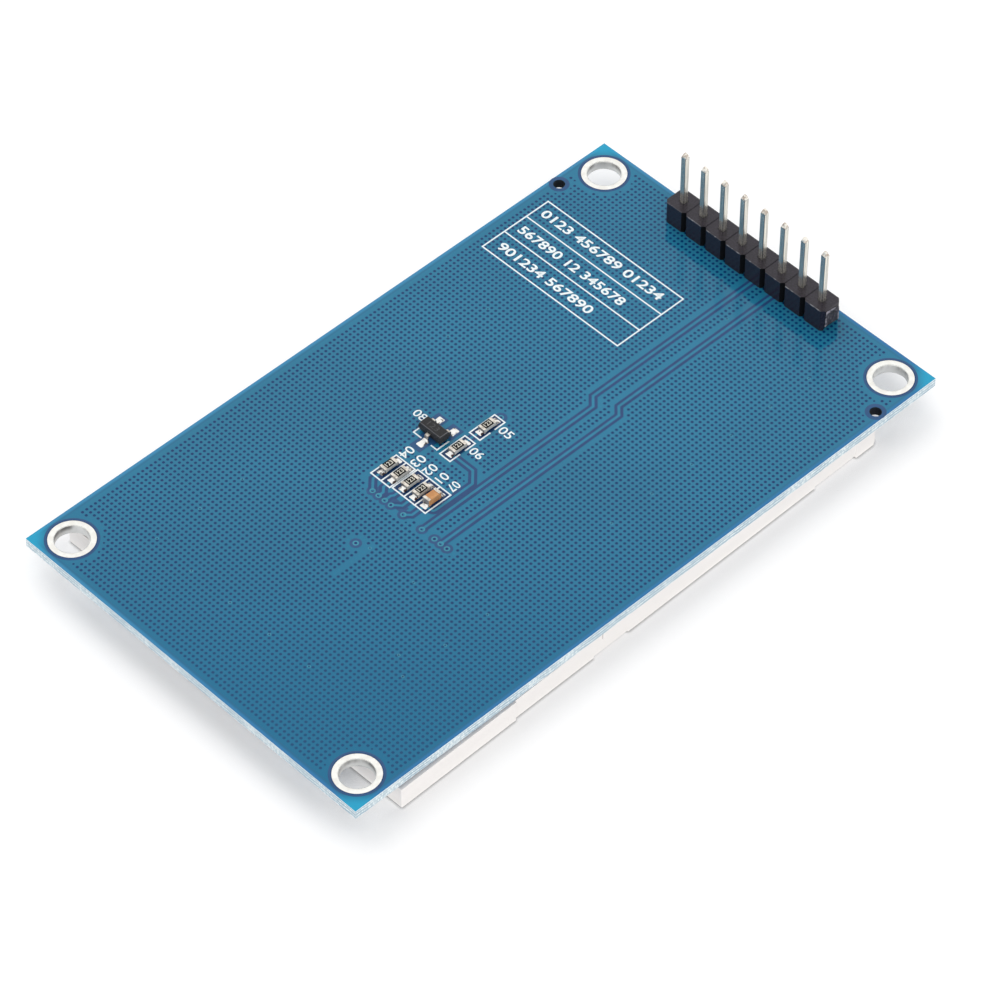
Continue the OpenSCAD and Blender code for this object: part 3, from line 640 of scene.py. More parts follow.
FINISH = {
    "mask": solder_mask(),
    "track": mask_tone("mask_on_track", mask_colour(62, 132, 163)),
    "bare": mask_tone("mask_on_laminate", MASK_ON_LAMINATE),
    "area": mask_tone("mask_on_bare_area", mask_colour(64, 95, 135)),
    "flux": glazed("flux_residue", srgb(58, 26, 20), 0.15, 3, 0.3),
    # bare laminate inside the print frames, darker than the other bare areas as painted shade
    "framed": mask_tone("mask_in_frames", mask_colour(46, 68, 104, 0.027)),
    # painted shade: a dark ring on the mask just beside each land
    "land_shade": mask_tone("mask_by_land", mask_colour(50, 72, 112, 0.027)),
    "ring_gap": mask_tone("mask_in_ring_gap", mask_colour(62, 93, 133)),
    "opening": pour_opening(),
    "ring": mask_tone("mask_on_ring", mask_colour(74, 148, 170)),
    "via_hole": mask_tone("mask_in_hole", mask_colour(34, 66, 114, 0.027)),
    "ink": silk_ink(),
    "land": tinned_land(),
    "pin": pin_plating(),
    "solder": solder_metal(),
    "tin": cap_plating("tin_plate", 0.7),
    "dull_tin": cap_plating("dull_tin", 0.3),
    "joint": joint_solder(),
    "header": header_plastic(),
    # painted shade: a near-black, less glossy copy of the header plastic for the notches between its
    # segments
    "notch_shade": glazed("header_notch", (0.0035, 0.0035, 0.004, 1), 0.6, 5, 0.2, gloss=0.1),
    "epoxy": moulded_epoxy(),
    "coat": glazed("resistor_coat", (0.004, 0.004, 0.0045, 1), 0.5, 9, 0.3, 0.004, gloss=0.12),
    "figure": glazed("marking_ink", srgb(218, 215, 202, 0.02), 0.5, 12, 0.12),
    "mark": glazed("laser_mark", (0.055, 0.055, 0.058, 1), 0.6, 18, 0.3),
    "alumina": glazed("white_ceramic", srgb(192, 192, 188, 0.02), 0.5, 8, 0.12),
    "ceramic": layered_ceramic(),
    "frame": frame_plastic(),
    "foam": glazed("foam_tape", (0.78, 0.76, 0.68, 1), 0.85, 5, 0.1, 0.05),
    "reflector": glazed("reflector_film", (0.86, 0.86, 0.86, 1), 0.3, 1.5, 0.03),
    "guide": glazed("clear_acrylic", (0.80, 0.83, 0.84, 1), 0.08, 0.6, 0.03),
    "diffuser": glazed("diffusing_film", (0.84, 0.85, 0.86, 1), 0.6, 4, 0.04),
    "led": glazed("led_case", (0.84, 0.83, 0.78, 1), 0.4, 3, 0.04),
    "black_tape": glazed("black_tape", (0.012, 0.012, 0.013, 1), 0.55, 4, 0.3),
    "rear_film": glazed("rear_polariser", (0.03, 0.032, 0.036, 1), 0.12, 0.8, 0.1),
    "front_film": front_film(),
    "array": ledge_glass(),
    "colour": border_glass(),
    "silicon": glazed("bare_silicon", (0.10, 0.105, 0.115, 1), 0.14, 1.2, 0.2, 0.002),
    "flex": flex_film(),
}


# ---------------------------------------------------------------- making and handing over pieces

def hand_over(bm, name, finish, replaces=(), smooth_below=35):
    """Turns a shape in millimetres into a piece that rides on the module."""
    bmesh.ops.scale(bm, vec=(MM, MM, MM), verts=bm.verts)
    mesh = bpy.data.meshes.new(name)
    bm.to_mesh(mesh)
    bm.free()
    if smooth_below:
        mesh.shade_smooth()
        mesh.set_sharp_from_angle(angle=math.radians(smooth_below))
    mesh.materials.append(FINISH[finish])
    piece = bpy.data.objects.new(name, mesh)
    scene.collection.objects.link(piece)
    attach(piece, "root")
    if replaces:
        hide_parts(*replaces)
    return piece


def lay_on_board(bm, name, finish):
    """Hands over a thin flat layer of the board, with no smoothing."""
    return hand_over(bm, name, finish, smooth_below=0)


def merged_copy(node):
    """A copy of a CAD node in millimetres, its triangles joined into clean faces."""
    bm = bmesh.new()
    bm.from_mesh(NODES[node].data)
    bmesh.ops.scale(bm, vec=(1 / MM, 1 / MM, 1 / MM), verts=bm.verts)
    bmesh.ops.remove_doubles(bm, verts=bm.verts, dist=0.0008)
    bmesh.ops.dissolve_limit(bm, angle_limit=math.radians(1), verts=bm.verts, edges=bm.edges)
    return bm


def any_edge(edge):
    return True


def sharp_edges(bm, least=28, chosen=any_edge):
    least = math.radians(least)
    return [e for e in bm.edges if e.is_manifold and e.calc_face_angle(0) > least and chosen(e)]


def soften(bm, edges, width, segments=2):
    bmesh.ops.bevel(bm, geom=edges, offset=width, offset_type="OFFSET", segments=segments, profile=0.5,
                    affect="EDGES", material=-1, clamp_overlap=True)


def hand_over_softened(bm, node, name, finish):
    """Hands over a rounded shape that stands for a CAD node, its flat faces shaded flat."""
    piece = hand_over(bm, name, finish, [node])
    level = piece.modifiers.new("level_faces", "WEIGHTED_NORMAL")
    level.keep_sharp = True
    return piece


def softened_piece(node, name, finish, width, segments=2, chosen=any_edge):
    """A CAD node's shape with its sharp edges rounded."""
    bm = merged_copy(node)
    soften(bm, sharp_edges(bm, chosen=chosen), width, segments)
    return hand_over_softened(bm, node, name, finish)


def add_slab(bm, x0, x1, y0, y1, z0, z1):
    """A thin block between two corners."""
    size = Matrix.Diagonal((x1 - x0, y1 - y0, z1 - z0, 1))
    middle = Matrix.Translation(((x0 + x1) / 2, (y0 + y1) / 2, (z0 + z1) / 2))
    bmesh.ops.create_cube(bm, size=1, matrix=middle @ size)


def add_disc(bm, x, y, radius, z0, z1, segments=28):
    """A thin round block."""
    middle = Matrix.Translation((x, y, (z0 + z1) / 2))
    bmesh.ops.create_cone(bm, cap_ends=True, segments=segments, radius1=radius, radius2=radius,
                          depth=z1 - z0, matrix=middle)


def spin_ring(bm, profile, x, y, steps=64):
    """A ring from a closed outline of (radius, height) points, about an upright axis at x, y."""
    corners = [bm.verts.new((x + radius, y, height)) for radius, height in profile]
    outline = [bm.edges.new(pair) for pair in zip(corners, corners[1:] + corners[:1])]
    bmesh.ops.spin(bm, geom=corners + outline, cent=(x, y, 0), axis=(0, 0, 1), dvec=(0, 0, 0),
                   angle=2 * math.pi, steps=steps, use_merge=True)


def strips(name, routes, width, low, high, finish, closed=False):
    """Raised lines of one width along routes on the board, mitred at their bends."""
    bm = bmesh.new()
    for route in routes:
        chain = [bm.verts.new((x, y, low)) for x, y in route]
        after = chain[1:] + (chain[:1] if closed else [])
        edges = [bm.edges.new(pair) for pair in zip(chain, after)]
        wall = bmesh.ops.extrude_edge_only(bm, edges=edges)
        raised = [v for v in wall["geom"] if isinstance(v, bmesh.types.BMVert)]
        bmesh.ops.translate(bm, verts=raised, vec=(0, 0, high - low))
    piece = lay_on_board(bm, name, finish)
    thickened = piece.modifiers.new("width", "SOLIDIFY")
    thickened.thickness = width * MM
    thickened.offset = 0
    thickened.use_even_offset = True


def figures(text, height, bold):
    """Flat mesh of plain figures with their left foot at the origin, of that cap height."""
    curve = bpy.data.curves.new("figures", "FONT")
    curve.body = text
    curve.offset = bold
    curve.resolution_u = 4
    written = bpy.data.objects.new("figures", curve)
    scene.collection.objects.link(written)
    bpy.context.view_layer.update()
    mesh = bpy.data.meshes.new_from_object(written)
    bpy.data.objects.remove(written)
    low = Vector([min(v.co[k] for v in mesh.vertices) for k in range(3)])
    tall = max(v.co.y for v in mesh.vertices) - low.y
    mesh.transform(Matrix.Scale(height / tall, 4) @ Matrix.Translation(-low))
    return mesh


def add_figures(bm, text, height, x, y, z, turn=0.0, bold=0.0, width=None):
    """Writes figures at a level, turned about their left foot, stretched to a width if there is one."""
    mesh = figures(text, height, bold)
    stretch = Matrix.Identity(4)
    if width:
        stretch[0][0] = width / max(v.co.x for v in mesh.vertices)
    mesh.transform(Matrix.Translation((x, y, z)) @ Matrix.Rotation(math.radians(turn), 4, "Z") @ stretch)
    bm.from_mesh(mesh)
    bpy.data.meshes.remove(mesh)


# ---------------------------------------------------------------- the printed circuit on the top face

# Heights of the thin printed layers above the mask, and how far they reach down into it
OPENING_H, BARE_H, GAP_H, TRACK_H, RING_H, INK_H = 0.006, 0.010, 0.014, 0.020, 0.024, 0.032
SUNK = top - 0.01
# Layers that overlap differ by at least this, so that one of them is clearly on top
LAYER_STEP = 0.0003

# The copper pour is a mesh of openings at this pitch, and stops short of the rim and of its borders.
# Openings that lie partly over a border are smaller
PITCH, OPENING, PHASE = 0.508, 0.27, (0.095, 0.034)
POUR_RIM, POUR_BORDER, PARTLY_OPEN = 0.5, 0.31, 0.1
OPENING_CORNER, PARTLY_CLOSED = 0.07, 0.12

TRACK_W, GAP_W = 0.25, 0.81
VIA_PITCH, VIA_FIRST, VIA_ROW = 0.8, -4.21, -10.17
VIA_RING_R, VIA_HOLE_R, VIA_CLEAR_R = 0.29, 0.14, 0.56
VIA_EDGE, VIA_EDGE_H = 0.03, 0.008
LONE_VIA = (-0.69, -15.5)
# The via against the upper pad of resistor 5
PAD_VIA, PAD_VIA_CLEAR_R = (-2.64, 4.25), 0.6


def via_at(i):
    return VIA_FIRST + i * VIA_PITCH, VIA_ROW


VIAS = [via_at(i) for i in (0, 1, 2, 3, 5, 8, 10, 11, 12)] + [LONE_VIA]

# Stitching vias under the mask: rows beside the middle of the board
STITCH = 5.08
STITCH_VIAS = (
    [(-13.3, 2.75 + i * STITCH) for i in range(4)] + [(-13.3, -12.5 - i * STITCH) for i in range(4)]
    + [(13.35, 2.4 + i * STITCH) for i in range(6)] + [(13.35, -12.9 - i * STITCH) for i in range(3)]
    + [(-8.35 + i * STITCH, -28.1) for i in range(4)] + [(-7.25 + i * STITCH, 27.85) for i in range(3)]
    + [(0.6, -15.0), (6.2, -15.0), (11.35, -21.65)])


def track_routes():
    """Centre lines of the tracks, from pins and pads to their vias."""
    pad_y = chip_at["resistor_1"].y - 1.1
    start = {n: (chip_at[n].x, pad_y) for n in CHIPS}
    rows = [chip_at[n].x for n in ("resistor_4", "resistor_3", "resistor_2", "resistor_1", "capacitor")]
    header_foot = header_y - 1.2
    long_left, long_right = pin_at[4].x - 0.02, pin_at[5].x - 0.03
    bottom_pad = chip_at["resistor_6"] + Vector((0, -chip_l / 2, 0))
    # the short track from resistor 6 runs down beside the chips and curls in under the capacitor
    side_x, curl_y, curl_r = 1.38, -7.7, 0.33
    quarter = [math.radians(15 * k) for k in range(1, 6)]
    curl = [(side_x - curl_r * (1 - math.cos(a)), curl_y - curl_r * math.sin(a)) for a in quarter]
    lone_x = chip_at["resistor_5"].x - 0.08
    return [
        [(long_left, header_foot), (long_left, 12.12), (via_at(8)[0], 11.2), via_at(8)],
        [(long_right, header_foot), (long_right, 12.9), (via_at(11)[0], 12.1), via_at(11)],
        [(bottom_pad.x, -2.05), (0.25, -2.05), (side_x, -3.18), (side_x, curl_y)] + curl
        + [(0.6, -8.05)],
        [start["resistor_4"], (rows[0], -9.12), via_at(0)],
        [start["resistor_3"], (rows[1], -9.15), (via_at(1)[0], -9.6), via_at(1)],
        [start["resistor_2"], (rows[2], -9.2), (via_at(2)[0], -9.4), via_at(2)],
        [start["resistor_1"], (rows[3], -9.5), (via_at(3)[0] + 0.05, -10.1)],
        [start["capacitor"], (rows[4], -9.65), via_at(5)],
        [(lone_x, chip_at["resistor_5"].y - 1.2), (lone_x, chip_at["resistor_6"].y + 1.2)],
    ]


TRACKS = track_routes()

# Areas where the laminate is bare under the mask, as (x0, x1, y0, y1): round the two lone chips and the
# row of chips, and round the pads of the via row and the regulator
row_x0, row_x1 = chip_at["resistor_4"].x - 0.69, chip_at["capacitor"].x + 0.72
reg = chip_at["regulator"]
LONE_CHIPS = [(-3.27, -1.95, 0.94, 4.08), (-3.27, -1.95, -2.78, 0.36)]
PAD_AREAS = [
    (VIA_FIRST, -0.4, VIA_ROW, -9.3),
    (reg.x - 1.7, reg.x - 0.35, -1.0, 0.65),
    (reg.x + 0.2, reg.x + 1.6, -1.0, 0.65),
    (reg.x - 0.7, reg.x + 0.65, -4.0, -2.0),
    (reg.x - 0.9, reg.x + 0.9, -2.6, -1.0),
]
BARE_AREAS = LONE_CHIPS + [(row_x0, row_x1, -9.35, -5.5)] + PAD_AREAS
BARE_DISCS = [(x, y, VIA_CLEAR_R) for x, y in VIAS] + [PAD_VIA + (PAD_VIA_CLEAR_R,)]

# The solid bar of copper below the lone via
SOLID_BAR = (0.52, 0.68, -19.25, -15.0)

# Clear rings in the pour round the lands and the locating holes: inner and outer radius
LAND_GAP = land_r + 0.06, land_r + 0.3
LOCATING_GAP = LOCATING_R + 0.01, LOCATING_R + 0.42
RING_DISCS = ([(x, y, LAND_GAP[1] + 0.06) for x, y in HOLES]
              + [(x, y, LOCATING_GAP[1] - 0.06) for x, y in LOCATING])


def distance_to_line(x, y, start, end):
    run = Vector(end) - Vector(start)
    share = (Vector((x, y)) - Vector(start)).dot(run) / max(run.length_squared, 1e-9)
    return (Vector((x, y)) - Vector(start) - run * min(max(share, 0), 1)).length


def copper_left(x, y, discs, areas, routes):
    """Width of solid copper that an opening here would leave beside the nearest border."""
    left = [half_w - abs(x) - POUR_RIM, half_l - abs(y) - POUR_RIM]
    left += [math.hypot(x - cx, y - cy) - radius for cx, cy, radius in discs]
    left += [math.hypot(max(x0 - x, x - x1, 0), max(y0 - y, y - y1, 0)) for x0, x1, y0, y1 in areas]
    for route in routes:
        left += [distance_to_line(x, y, a, b) - GAP_W / 2 for a, b in zip(route, route[1:])]
    return min(left)


def beyond_board_corner(x, y):
    """True outside the mounting holes, where the corner has no copper."""
    return abs(x) > hole_x - 0.3 and abs(y) > hole_y - 0.3


def shrink_cells(bm, cells, border):
    """Draws the faces in by a border and takes the border away."""
    around = bmesh.ops.inset_individual(bm, faces=cells, thickness=border, use_even_offset=True)
    bmesh.ops.delete(bm, geom=around["faces"], context="FACES")


def openings(name, height, discs, areas, routes, wanted):
    """The pour's openings on one face of the board: squares with cut corners, smaller at its borders."""
    columns, rows = 2 * round(half_w / PITCH), 2 * round(half_l / PITCH)
    bm = bmesh.new()
    bmesh.ops.create_grid(bm, x_segments=columns, y_segments=rows, size=0.5,
                          matrix=Matrix.Diagonal((columns * PITCH, rows * PITCH, 1, 1)))
    bmesh.ops.translate(bm, verts=bm.verts, vec=(PHASE[0] - PITCH / 2, PHASE[1] - PITCH / 2, height))

    def place(cell):
        x, y, _ = cell.calc_center_median()
        return round(x, 3), round(y, 3)

    filled, partly = [], set()
    for cell in bm.faces:
        x, y, _ = cell.calc_center_median()
        left = copper_left(x, y, discs, areas, routes)
        if left < POUR_BORDER or not wanted(y) or beyond_board_corner(x, y):
            filled.append(cell)
        elif left < POUR_BORDER + PARTLY_OPEN:
            partly.add(place(cell))
    bmesh.ops.delete(bm, geom=filled, context="FACES")
    shrink_cells(bm, bm.faces, (PITCH - OPENING) / 2)
    shrink_cells(bm, [cell for cell in bm.faces if place(cell) in partly], OPENING * PARTLY_CLOSED)
    bmesh.ops.bevel(bm, geom=bm.verts, offset=OPENING_CORNER, segments=1, profile=0.5, affect="VERTICES",
                    material=-1)
    if height < bottom:
        bmesh.ops.reverse_faces(bm, faces=bm.faces)
    return lay_on_board(bm, name, "opening")


def make_pour():
    openings("pour_openings", top + OPENING_H, RING_DISCS + BARE_DISCS, BARE_AREAS + [SOLID_BAR],
             TRACKS[:-1], lambda y: True)
    panel_low, panel_high = box_mm("backlight_frame")
    joints = [(p.x, p.y, 0.95) for p in pin_at]
    openings("pour_openings_below", bottom - OPENING_H, RING_DISCS + joints, [], [],
             lambda y: not panel_low.y - 0.4 < y < panel_high.y + 0.4)


def make_clearances():
    """Bare laminate round the pads, vias and tracks, and the tracks themselves."""
    bm = bmesh.new()
    for i, (x0, x1, y0, y1) in enumerate(PAD_AREAS):
        add_slab(bm, x0, x1, y0, y1, SUNK, top + BARE_H - LAYER_STEP * (i + 1))
    for i, (x, y, radius) in enumerate(BARE_DISCS):
        add_disc(bm, x, y, radius, SUNK, top + BARE_H + LAYER_STEP * i)
    lay_on_board(bm, "pad_clearances", "area")
    # bare laminate inside the print frames, drawn darker than the other bare areas as painted shade
    bm = bmesh.new()
    for x0, x1, y0, y1 in LONE_CHIPS + [(row_x0, row_x1, -8.7, -5.6)]:
        add_slab(bm, x0, x1, y0, y1, SUNK, top + GAP_H + LAYER_STEP)
    lay_on_board(bm, "framed_clearances", "framed")
    strips("track_clearances", TRACKS, GAP_W, SUNK, top + GAP_H, "bare")
    strips("tracks", TRACKS, TRACK_W, SUNK, top + TRACK_H, "track")


def make_vias():
    """Copper rings of the vias with their holes, and the low domes of the stitching vias."""
    ring_top = top + RING_H
    shoulder = ring_top - VIA_EDGE_H
    ring = [(VIA_HOLE_R, SUNK), (VIA_HOLE_R, shoulder), (VIA_HOLE_R + VIA_EDGE, ring_top),
            (VIA_RING_R - VIA_EDGE, ring_top), (VIA_RING_R, shoulder), (VIA_RING_R, SUNK)]
    dome = [(0.07, SUNK), (0.09, top + 0.012), (0.14, top + 0.01), (0.18, SUNK)]
    bm = bmesh.new()
    for x, y in VIAS + [PAD_VIA]:
        spin_ring(bm, ring, x, y, 24)
    for x, y in STITCH_VIAS:
        spin_ring(bm, dome, x, y, 16)
    bmesh.ops.recalc_face_normals(bm, faces=bm.faces)
    hand_over(bm, "via_rings", "ring")
    bm = bmesh.new()
    for x, y in VIAS + [PAD_VIA]:
        add_disc(bm, x, y, VIA_HOLE_R + 0.01, SUNK, ring_top - 0.006, 20)
    for x, y in STITCH_VIAS:
        add_disc(bm, x, y, 0.08, SUNK, top + OPENING_H, 12)
    lay_on_board(bm, "via_holes", "via_hole")


def flat_rings(name, places, radii, height, finish):
    """Low rings on the mask that slope out at their rims. A place is x, y and the board's face."""
    inner, outer = radii
    bm = bmesh.new()
    for x, y, face in places:
        level = height if face == top else -height
        spin_ring(bm, [(inner, face), (inner, face + level), (outer - 0.02, face + level * 0.9),
                       (outer, face)], x, y, 48)
    bmesh.ops.recalc_face_normals(bm, faces=bm.faces)
    hand_over(bm, name, finish)


def make_hole_rings():
    lands = [(x, y, face) for x, y in HOLES for face in (top, bottom)]
    # painted shade: a dark ring beside each land, then the clear ring in the pour
    flat_rings("land_shade_rings", lands, (land_r - 0.02, land_r + 0.09), 0.012, "land_shade")
    flat_rings("land_gaps", lands, LAND_GAP, 0.006, "ring_gap")
    flat_rings("locating_gaps", [(x, y, top) for x, y in LOCATING], LOCATING_GAP, 0.006, "ring_gap")


# ---------------------------------------------------------------- white print

# The ruled table beside the header, as (x0, x1, y0, y1), and its rows: figures, indent, drop, share of width
TABLE = (-19.45, -1.65, 18.15, 26.75)
TABLE_ROWS = [
    ("0123 456789 01234", 0.7, 0.46, 0.878),
    ("567890 12 345678", 0.75, 0.62, 0.765),
    ("901234 567890", 0.97, 0.64, 0.68)]
TABLE_FIGURE_H = 1.1

# Numbers beside the chips: figures, height, left foot, turn, boldness, width
CHIP_NUMBERS = [
    ("05", 0.95, -1.68, 2.8, 0, 0.01, 1.45),
    ("06", 0.92, -1.68, -0.85, 0, 0.01, 1.4),
    ("08", 0.9, -8.6, -1.25, 0, 0.01, 1.4)]
ROW_NUMBERS = [("04", -5.95, 1.42), ("03", -4.45, 1.42), ("02", -2.95, 1.35), ("01", -1.48, 1.12),
               ("07", -0.02, 1.12)]
CHIP_NUMBERS += [(text, 0.98, x, -4.07, -90, 0.012, width) for text, x, width in ROW_NUMBERS]

# The two frames round the row of chips, and the lines between its chips: x, y0, y1
ROW_FRAMES = [(-5.86, -3.42, -8.82, -5.70), (-3.24, 1.02, -8.66, -5.53)]
ROW_LINES = [(-4.55, -8.85, -5.65), (-1.75, -8.7, -5.5), (-0.35, -8.7, -5.5)]
INK_W = 0.14


def chip_outlines():
    """Open outlines printed round the two lone chips and at the regulator's corners."""
    shapes = []
    for (x0, x1, y0, y1), gap in zip(LONE_CHIPS, ((2.26, 2.8), (-1.53, -0.9))):
        shapes.append([(x1, gap[0]), (x1, y0), (x0, y0), (x0, y1), (x1, y1), (x1, gap[1])])
    left, right, low = reg.x - 1.52, reg.x + 1.52, reg.y - 1.1
    shapes.append([(left, low + 0.75), (left, low), (reg.x - 0.5, low)])
    shapes.append([(reg.x + 0.72, low), (right, low), (right, low + 1.5)])
    return shapes


def make_print():
    level = top + INK_H
    rects = [[(x0, y0), (x1, y0), (x1, y1), (x0, y1)] for x0, x1, y0, y1 in [TABLE] + ROW_FRAMES]
    strips("print_frames", rects, INK_W, top, level, "ink", closed=True)
    x0, x1, y0, y1 = TABLE
    row = (y1 - y0) / 3
    lines = [[(x0, y0 + i * row), (x1, y0 + i * row)] for i in (1, 2)]
    lines += [[(x, low), (x, high)] for x, low, high in ROW_LINES]
    strips("print_lines", lines + chip_outlines(), INK_W, top, level - 0.002, "ink")

    bm = bmesh.new()
    for i, (text, indent, drop, share) in enumerate(TABLE_ROWS):
        foot = y1 - (i + 0.5) * row - drop
        add_figures(bm, text, TABLE_FIGURE_H, x0 + indent, foot, level, 0, 0.022, (x1 - x0) * share)
    for text, height, x, y, turn, bold, width in CHIP_NUMBERS:
        add_figures(bm, text, height, x, y, level, turn, bold, width)
    lay_on_board(bm, "print_figures", "ink")


# ---------------------------------------------------------------- lands, header and chips

def land_outline():
    """Section of a land on one face, from inside its hole to its rim: radius, and height above the board."""
    wet, rim = 0.05, hole_r + 0.16
    return [(hole_r, -0.2), (hole_r + 0.015, -0.06), (hole_r + 0.06, 0.01), (rim, wet - 0.012),
            (rim + 0.1, wet), (land_r - 0.16, wet), (land_r - 0.06, wet - 0.012),
            (land_r - 0.01, 0.016), (land_r, 0.0)]


def make_lands():
    """Tinned lands on both faces, joined by the lining of each mounting hole. The solder pulled back
    unevenly from the hole's rim, so the rim and the lining waver a little."""
    face = land_outline()
    upper = [(radius, top + height) for radius, height in face]
    lower = [(radius, bottom - height) for radius, height in reversed(face)]
    inner = [(hole_r + 0.05, top), (hole_r + 0.05, bottom)]
    turns = (5, 9, 14, 23)
    bm = bmesh.new()
    for x, y in HOLES:
        before = set(bm.verts)
        spin_ring(bm, upper + inner + lower, x, y, 96)
        phases = [random.uniform(0, 2 * math.pi) for _ in turns]
        for vert in set(bm.verts) - before:
            out = vert.co.xy - Vector((x, y))
            near_rim = max(0.0, 1 - abs(out.length - hole_r - 0.04) / 0.2)
            angle = math.atan2(out.y, out.x)
            wave = sum(math.sin(n * angle + p + 3 * vert.co.z) / n for n, p in zip(turns, phases))
            vert.co.z += 0.03 * wave * near_rim
            vert.co.xy += out.normalized() * 0.018 * max(wave, -0.3) * near_rim
    bmesh.ops.recalc_face_normals(bm, faces=bm.faces)
    hand_over(bm, "hole_lands", "land", ["hole_platings"], smooth_below=50)


def make_header():
    low, high = box_mm("header_housing")
    collar_r, segment_end = 0.7, high.x - 0.8

    def outer(edge):
        a, b = edge.verts[0].co, edge.verts[1].co
        level_edge = min(a.z, b.z) > high.z - 0.01
        upright = abs(a.x - b.x) < 0.01 and abs(a.y - b.y) < 0.01
        inside = max(abs(a.y - header_y), abs(b.y - header_y)) < collar_r
        return (level_edge or upright) and not inside and edge.calc_length() > 0.3

    body = softened_piece("header_housing", "header_body", "header", 0.04, 2, outer)
    # painted shade: the slanted notch faces between segments take the near-black copy of the plastic
    body.data.materials.append(FINISH["notch_shade"])
    for face in body.data.polygons:
        below_top = face.center.z < (high.z - 0.03) * MM
        slanted = min(abs(face.normal.x), abs(face.normal.y)) > 0.5
        between = abs(face.center.x) < segment_end * MM
        face.material_index = 1 if slanted and between and below_top else 0
    for i, node in enumerate(PINS):
        make_pin(node, f"pin_{i + 1}")


def make_pin(node, name):
    """A pin whose pinched end is widened, cut back a little and rounded."""
    widened, cut_back, pinch = 1.9, 0.12, 0.7
    bm = merged_copy(node)
    middle = centre_mm(node).xy
    for vert in bm.verts:
        if vert.co.z > pin_top - 0.01:
            vert.co.xy = middle + (vert.co.xy - middle) * widened
            vert.co.z -= cut_back
    tip = [e for e in sharp_edges(bm, 20) if min(v.co.z for v in e.verts) > pin_top - pinch]
    soften(bm, tip, 0.07, 3)
    soften(bm, sharp_edges(bm, 50), 0.045, 3)
    hand_over_softened(bm, node, name, "pin")


# Parts of a chip resistor: stem of the node, name, finish, slot, rounding
RESISTOR_PARTS = [
    ("resistor_", "chip_body_", "alumina", "white_ceramic", 0.03),
    ("resistor_coat_", "chip_coat_", "coat", "resistor_coat", 0.012),
    ("resistor_caps_", "chip_caps_", "tin", "tin_plate", 0.012)]


def make_chips():
    for i in range(1, len(RESISTORS) + 1):
        for stem, name, finish, slot, rounding in RESISTOR_PARTS:
            softened_piece(f"{stem}{i}", f"{name}{i}", finish, rounding)
    softened_piece("capacitor", "capacitor_body", "ceramic", 0.05, 3)
    softened_piece("capacitor_caps", "capacitor_ends", "dull_tin", 0.015)
    softened_piece("regulator", "regulator_body", "epoxy", 0.06, 3)
    softened_piece("regulator_leads", "regulator_legs", "tin", 0.02)

    level = box_mm("resistor_coat_1")[1].z + 0.004
    bm = bmesh.new()
    for node in RESISTORS:
        place = chip_at[node]
        add_figures(bm, "123", 0.48, place.x + 0.24, place.y - 0.39, level, 90, 0.016, 0.78)
    hand_over(bm, "chip_figures", "figure", smooth_below=0)
    bm = bmesh.new()
    level = box_mm("regulator")[1].z + 0.003
    add_figures(bm, "123", 0.55, reg.x - 0.7, reg.y - 0.3, level, width=1.3)
    hand_over(bm, "regulator_mark", "mark", smooth_below=0)


def add_solder(bm, place, turn, width, run, rise, base=0.05, steps=12):
    """Solder on a pad: concave up the chip's end at y = 0, and out along +Y in a waist and a wider toe."""
    made = bmesh.ops.create_grid(bm, x_segments=steps, y_segments=steps, size=0.5)
    lean, swell, waist = (random.uniform(-1, 1) for _ in range(3))
    for vert in made["verts"]:
        across = abs(vert.co.x) * 2
        along = vert.co.y + 0.5
        lip = (1 - across ** 5) * (1 - along ** 9) if 0.001 < along else 0.0
        climb = base + (rise - base) * max(1 - along * 1.08, 0) ** 2.6 * (1 - 0.35 * across ** 2)
        climb += 0.05 * math.sin(math.pi * along) ** 2 * (1 + 0.5 * swell + lean * vert.co.x)
        pinched = math.sin(math.pi * min(along * 1.25, 1)) ** 2
        squeeze = 1 - 0.1 * along ** 2 - (0.14 + 0.04 * waist) * pinched
        vert.co = Vector((vert.co.x * width * squeeze, along * run, climb * lip))
    border = [e for e in bm.edges if e.is_boundary and e.verts[0] in made["verts"]]
    bmesh.ops.holes_fill(bm, edges=border, sides=0)
    placed = Matrix.Translation(place) @ Matrix.Rotation(math.radians(turn), 4, "Z")
    bmesh.ops.transform(bm, matrix=placed, verts=made["verts"])


# Width of a regulator lead
LEAD_W = 0.42


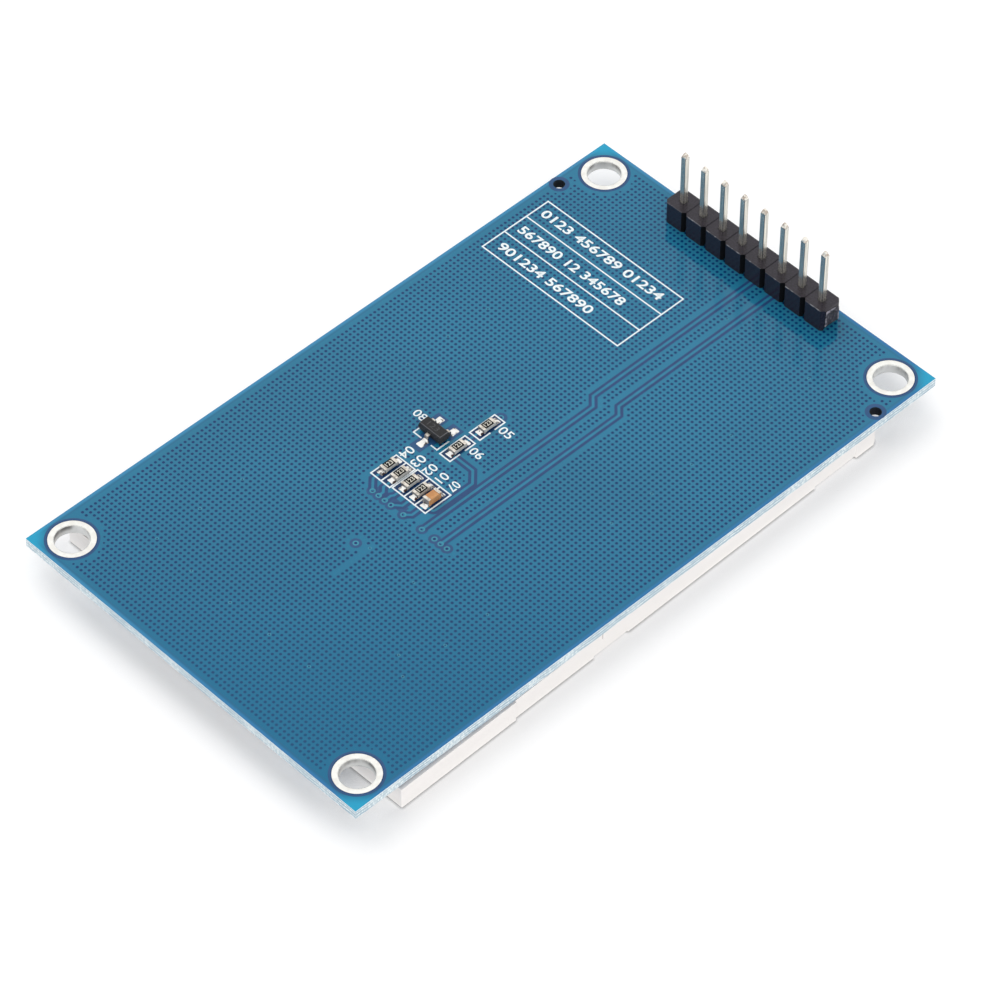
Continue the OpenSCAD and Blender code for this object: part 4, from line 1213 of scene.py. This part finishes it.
def make_solder():
    """Solder at both ends of each chip and at the regulator's three leads."""
    bm = bmesh.new()
    for name in CHIPS:
        rise = 0.62 if name == "capacitor" else 0.36
        for turn, side, run in ((0, 1, 0.72), (180, -1, 0.6)):
            end = Vector((chip_at[name].x, chip_at[name].y + (chip_l / 2 - 0.16) * side, top))
            add_solder(bm, end, turn, chip_w + 0.08, run, rise)
    lead_x = box_mm("regulator_leads")[1].x - LEAD_W / 2 - reg.x
    for turn, x, y in ((0, -lead_x, 0.95), (0, lead_x, 0.95), (180, 0, -0.95)):
        add_solder(bm, Vector((reg.x + x, reg.y + y, top)), turn, 0.8, 1.02, 0.3, 0.06)
    bmesh.ops.recalc_face_normals(bm, faces=bm.faces)
    hand_over(bm, "chip_solder", "solder", ["chip_joints"])


def make_flux():
    """Drops of dark flux left beside the joints, against the chips' ends."""
    bm = bmesh.new()
    for name in RESISTORS:
        end_y = chip_at[name].y - chip_l / 2
        size = Matrix.Diagonal((random.uniform(0.1, 0.14), random.uniform(0.12, 0.17), 0.13, 1))
        place = Matrix.Translation((chip_at[name].x + chip_w * 0.42, end_y - 0.2, top + 0.14))
        bmesh.ops.create_icosphere(bm, subdivisions=2, radius=1, matrix=place @ size)
    hand_over(bm, "flux_drops", "flux")


# ---------------------------------------------------------------- the panel

def make_panel():
    softened_piece("backlight_frame", "frame_shell", "frame", 0.05)


def finish_cad_nodes():
    """Finishes of the CAD nodes that stay as they are."""
    kept = {
        "board": "mask", "header_joints": "joint", "tape_left": "foam", "tape_right": "foam",
        "reflector": "reflector", "light_guide": "guide", "diffuser": "diffuser",
        "prism_film_lower": "diffuser", "prism_film_upper": "diffuser", "rim_tape": "black_tape",
        "led_strip": "flex", "rear_polariser": "rear_film", "array_glass": "array",
        "colour_glass": "colour", "front_polariser": "front_film", "driver_chip": "silicon",
        "flex_tail": "flex", "tail_joints": "joint"}
    kept.update({led: "led" for led in numbered("led_")})
    for node, finish in kept.items():
        mesh = NODES[node].data
        mesh.materials.clear()
        mesh.materials.append(FINISH[finish])


make_pour()
make_clearances()
make_vias()
make_hole_rings()
make_print()
make_lands()
make_header()
make_chips()
make_solder()
make_flux()
make_panel()
finish_cad_nodes()
